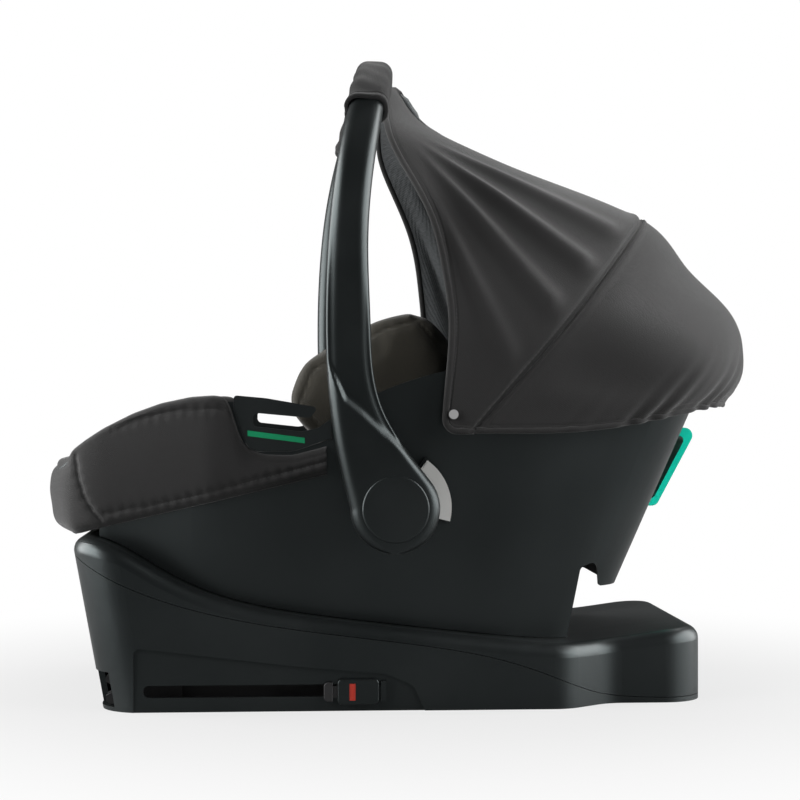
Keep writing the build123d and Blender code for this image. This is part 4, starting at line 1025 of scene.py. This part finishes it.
# %% Seams of the pads
def line_distance(points, line):
    """Distance from side-view points to a polyline, and the run along it at the nearest place."""
    start = np.array(line[:-1])
    way = np.diff(np.array(line), axis=0)
    size = np.linalg.norm(way, axis=1)
    to = points[:, None, :] - start[None]
    t = np.clip((to * way).sum(-1) / size**2, 0, 1)
    gap = np.linalg.norm(to - t[..., None] * way, axis=-1)
    nearest = gap.argmin(1)
    pick = np.arange(len(points))
    run = np.r_[0, np.cumsum(size)][nearest] + t[pick, nearest] * size[nearest]
    return gap[pick, nearest], run


def sewn_lines(co, lines, allowed):
    """Smallest distance to any of the lines in side view, where allowed; elsewhere a large number."""
    flat = co[:, [0, 2]]
    best = np.full(len(co), 1.0)
    run = np.zeros(len(co))
    for line in lines:
        gap, gone = line_distance(flat, line)
        closer = gap < best
        best = np.where(closer, gap, best)
        run = np.where(closer, gone, run)
    return np.where(allowed, best, 1.0), run


WING = [
    (-0.010, 0.199), (0.1065, 0.265), (0.1045, 0.308), (0.052, 0.3365), (0.0115, 0.3825), (-0.028, 0.371),
    (-0.1005, 0.329), (-0.116, 0.288), (-0.073, 0.241), (-0.010, 0.199),
]
WING_SIDE_Y = 0.108
WING_SEAM = 0.0085
RIB_PITCH = 0.075
RIB_SHIFT = 0.02
LINER_SEAM_Y = 0.062
SHOULDER_Y = 0.045
SHOULDER_SEAM = 0.019
SEAM_DEPTH = 0.0022
SEAM_WIDTH = 0.0045


def pad_seams(name, co):
    """Distance to the seams and run along them for one pad."""
    side = np.abs(co[:, 1])
    if name == "head_cushion":
        gap, run = sewn_lines(co, [WING], side > WING_SIDE_Y)
        return np.abs(gap - WING_SEAM), run
    if name == "seat_liner":
        rib = np.abs((co[:, 0] + RIB_SHIFT) % RIB_PITCH - RIB_PITCH / 2)
        middle = np.abs(side - LINER_SEAM_Y)
        return np.minimum(rib, middle), np.where(rib < middle, co[:, 1] + 1, co[:, 0] + 1)
    edge = np.abs(side - SHOULDER_Y)
    return np.abs(edge - SHOULDER_SEAM), co[:, 0] + 1


for name, pad in PADS.items():
    piece = pads[name]
    co = coordinates(piece.data)
    seam, run = pad_seams(name, co)
    depth = min(SEAM_DEPTH, 0.5 * pad.voxel)
    co = co - point_normals(piece.data) * (depth * bell(seam, SEAM_WIDTH))[:, None]
    piece.data.vertices.foreach_set("co", co.ravel().astype(np.float32))
    piece.data.materials.clear()
    piece.data.materials.append(pad.material)
    shade_smooth(piece.data)
    point_values(piece, seam=seam, along=run)
    finer = piece.modifiers.new("finer", "SUBSURF")
    finer.levels = 1
    finer.render_levels = 1
    put_on(piece, pad.body, pad.slot, pad.node)

# %% [markdown]
# The foot cover wraps the shell's foot end like an apron. Its plan is the shell's own: two straight
# sides, a round corner and a flat toe, which widen with height. At each place along it the same closed
# section is set up between a low and a high line: out of the hem, up the padded wall, over a round roll
# at the top and back down along the shell. At the toe the wall takes the round outline of the lip
# instead.

# %% Foot cover
# Height, x of the toe, half-width at the toe and along the sides
HULL_LOW = (0.040, -0.344, 0.104, 0.141)
HULL_HIGH = (0.400, -0.354, 0.148, 0.192)
APRON_END_X = -0.078
SHOULDER_X = -0.190
TOE_ROUND = 0.075
COVER_ROLL = 0.0075
COVER_OUT = 0.0060
COVER_PUFF = 0.0032
HEM_PINCH = 0.0040
COVER_SHEET = 0.0025
TOE_BLEND = (0.318, 0.344)
WALL_STEPS = 34
PUCKER_PITCH = 0.011
COVER_TOP = np.array([
    (-0.362, 0.2365), (-0.345, 0.2375), (-0.333, 0.2405), (-0.322, 0.2465), (-0.310, 0.2555),
    (-0.291, 0.2675), (-0.262, 0.2820), (-0.236, 0.2915), (-0.208, 0.2975), (-0.186, 0.2990),
    (-0.175, 0.2970), (-0.169, 0.2840), (-0.164, 0.2620), (-0.154, 0.2475), (-0.138, 0.2430),
    (-0.112, 0.2425), (-0.076, 0.2520),
])
COVER_LOW = np.array([
    (-0.362, 0.1640), (-0.335, 0.1640), (-0.318, 0.1665), (-0.306, 0.1700), (-0.162, 0.2043),
    (-0.076, 0.2250),
])
LIP_OUT = np.array([
    (0.160, -0.024), (0.1645, -0.014), (0.168, -0.0075), (0.1725, -0.002), (0.178, 0.0010), (0.190, 0.0026),
    (0.2047, 0.0040), (0.2147, 0.0032), (0.223, 0.0012), (0.229, -0.003), (0.234, -0.0105), (0.240, -0.020),
])
APRON_FOLD = [
    (-0.292, 0.1858), (-0.2508, 0.1932), (-0.2152, 0.2007), (-0.1796, 0.2101), (-0.1431, 0.2195),
    (-0.0793, 0.2362),
]
APRON_LIP = [(-0.3205, 0.2403), (-0.318, 0.2212), (-0.3118, 0.2011), (-0.3031, 0.1872), (-0.2955, 0.1792)]
APRON_TOP = [(-0.2842, 0.2678), (-0.2519, 0.2784), (-0.2156, 0.2851), (-0.1797, 0.286), (-0.1685, 0.2832)]


def half_plan(foot_x, foot_half, half):
    """Plan of one side of the hull, from the belt guide to the toe's middle: two lines, an arc and a line."""
    start = np.array([APRON_END_X, half])
    shoulder = np.array([SHOULDER_X, half])
    corner = np.array([foot_x, foot_half])
    back = unit(shoulder - corner)
    across = np.array([0.0, -1.0])
    half_angle = math.acos(back @ across) / 2
    run = TOE_ROUND / math.tan(half_angle)
    first = corner + back * run
    last = corner + across * run
    middle = corner + unit(back + across) * TOE_ROUND / math.sin(half_angle)
    turn = np.linspace(math.atan2(*(first - middle)[::-1]), math.pi, 60)
    arc = middle + TOE_ROUND * np.stack([np.cos(turn), np.sin(turn)], 1)
    toe = np.linspace(last, (foot_x, 0), 26)[1:]
    sides = [np.linspace(start, shoulder, 71)[:-1], np.linspace(shoulder, first, 91)[:-1]]
    return np.concatenate([*sides, arc, toe])


def eased(values, reach):
    """Running mean with a raised-cosine weight along the first axis; the ends keep their values."""
    weight = np.hanning(2 * reach + 3)[1:-1]
    padded = np.concatenate([values[:1].repeat(reach, 0), values, values[-1:].repeat(reach, 0)])
    flat = padded.reshape(len(padded), -1)
    done = [np.convolve(column, weight / weight.sum(), "valid") for column in flat.T]
    return np.stack(done, 1).reshape(values.shape)


def whole_plan(level_row):
    """Plan of the foot end from the near side round the toe to the far side."""
    side = half_plan(*level_row[1:])
    return eased(np.concatenate([side * np.array([1, -1]), side[::-1][1:]]), 9)


plan_low = whole_plan(HULL_LOW)
plan_high = whole_plan(HULL_HIGH)
plan_mid = plan_low + (plan_high - plan_low) * 0.45
ahead = unit(np.gradient(plan_mid, axis=0))
away = np.stack([-ahead[:, 1], ahead[:, 0]], 1)
at_x = plan_mid[:, 0]
top_z = eased(np.interp(at_x, COVER_TOP[:, 0], COVER_TOP[:, 1]), 4)[:, None]
low_z = eased(np.interp(at_x, COVER_LOW[:, 0], COVER_LOW[:, 1]), 4)[:, None]
toe_share = smooth_step(*TOE_BLEND, -at_x)[:, None]

wall = np.linspace(0, 1, WALL_STEPS)[None, :]
wall_z = low_z + (top_z - COVER_ROLL - low_z) * wall
above_low = wall_z - low_z
side_out = COVER_OUT + COVER_PUFF * np.sin(math.pi * wall) ** 0.8 - HEM_PINCH * bell(above_low, 0.0035)
lip_out = spline(LIP_OUT[:, 0], LIP_OUT[:, 1], np.clip(wall_z, LIP_OUT[0, 0], LIP_OUT[-1, 0]))
wall_out = side_out * (1 - toe_share) + lip_out * toe_share
over = np.linspace(0, math.pi, 13)[None, 1:]
roll_out = wall_out[:, -1:] - COVER_ROLL + COVER_ROLL * np.cos(over)
roll_z = top_z - COVER_ROLL + COVER_ROLL * np.sin(over)
inner_z = wall_z[:, ::-3]
inner_out = np.minimum(0.0006, wall_out[:, ::-3] - COVER_SHEET)
cover_out = np.concatenate([wall_out, roll_out, inner_out], 1)
cover_z = np.concatenate([wall_z, roll_z, inner_z - 0.0008], 1)


def on_hull(out, z):
    """Points at distance out from the hull's face and height z, for every place along the plan."""
    share = ((z - HULL_LOW[0]) / (HULL_HIGH[0] - HULL_LOW[0]))[..., None]
    flat = plan_low[:, None] + (plan_high - plan_low)[:, None] * share + away[:, None] * out[..., None]
    return np.concatenate([flat, z[..., None]], -1)


cover_points = on_hull(cover_out, cover_z)
cover_shape = cover_points.shape[:2]
flat_points = cover_points.reshape(-1, 3)
seam, run = sewn_lines(flat_points, [APRON_FOLD, APRON_LIP, APRON_TOP], np.abs(flat_points[:, 1]) > 0.06)
seam = seam.reshape(cover_shape)
run = run.reshape(cover_shape)
outer = np.arange(cover_shape[1])[None, :] < WALL_STEPS
pucker = 0.0004 * np.sin(2 * math.pi * run / PUCKER_PITCH) * bell(seam, 0.007)
pinch = 0.0018 * bell(seam, 0.0035)
cover_points = on_hull(cover_out + (pucker - pinch) * outer, cover_z)
edge_row = np.ones((1, cover_shape[1]))
sewn_at, sewn_run = (np.concatenate([edge_row, values, edge_row]) for values in (seam, run))
apron = closed_tube("foot_apron", cover_points, sewn_charcoal, seam=sewn_at, along=sewn_run)
put_on(apron, "carrier", "charcoal_fabric", "foot_cover")

# %% [markdown]
# The harness is flat webbing that lies on the seat. Each strap is a thin rounded band carried along the
# seat's own line, lifted off the pan by the thickness of the pad.

# %% Webbing
SEAT_LINE = np.array([
    (-0.395, 0.224), (-0.300, 0.205), (-0.190, 0.165), (-0.080, 0.144), (0.020, 0.168), (0.060, 0.1911),
    (0.1, 0.2142),
])
BACK_LEAN = math.radians(30)
STRAP_LIFT = 0.0257
STRAP_ROUND = 0.001
# Node, first and last x, near and far y
STRAPS = {
    "shoulder_webbing_left": ("shoulder_strap_left", -0.112, 0.002, -0.064, -0.026),
    "shoulder_webbing_right": ("shoulder_strap_right", -0.112, 0.002, 0.026, 0.064),
    "crotch_webbing": ("crotch_strap", -0.206, -0.122, -0.017, 0.017),
    "adjuster_webbing": ("adjuster_strap", -0.308, -0.277, -0.015, 0.015),
}


def strap_band(first_x, last_x, near_y, far_y):
    """Rounded band along the lifted seat line: width across it and thickness square to it."""
    lifted = SEAT_LINE + STRAP_LIFT * np.array([-math.sin(BACK_LEAN), math.cos(BACK_LEAN)])
    x = np.linspace(first_x, last_x, 60)
    z = spline(lifted[:, 0], lifted[:, 1], x)
    slope = np.gradient(z, x)
    normal = np.stack([-slope, np.zeros_like(x), np.ones_like(x)], 1) / np.sqrt(1 + slope**2)[:, None]
    share, way = ring_of(8, 5)
    half = (far_y - near_y) / 2
    across = (half - STRAP_ROUND) * share[:, 0] + STRAP_ROUND * way[:, 0]
    out = 0.0001 * share[:, 1] + STRAP_ROUND * way[:, 1]
    centre = np.stack([x, np.full_like(x, (near_y + far_y) / 2), z], 1)
    return centre[:, None] + across[:, None] * np.array([0, 1, 0]) + out[:, None] * normal[:, None]


for name, (node, *measures) in STRAPS.items():
    strap = closed_tube(name, strap_band(*measures), FINISHES["black_webbing"])
    put_on(strap, "carrier", "black_webbing", node)
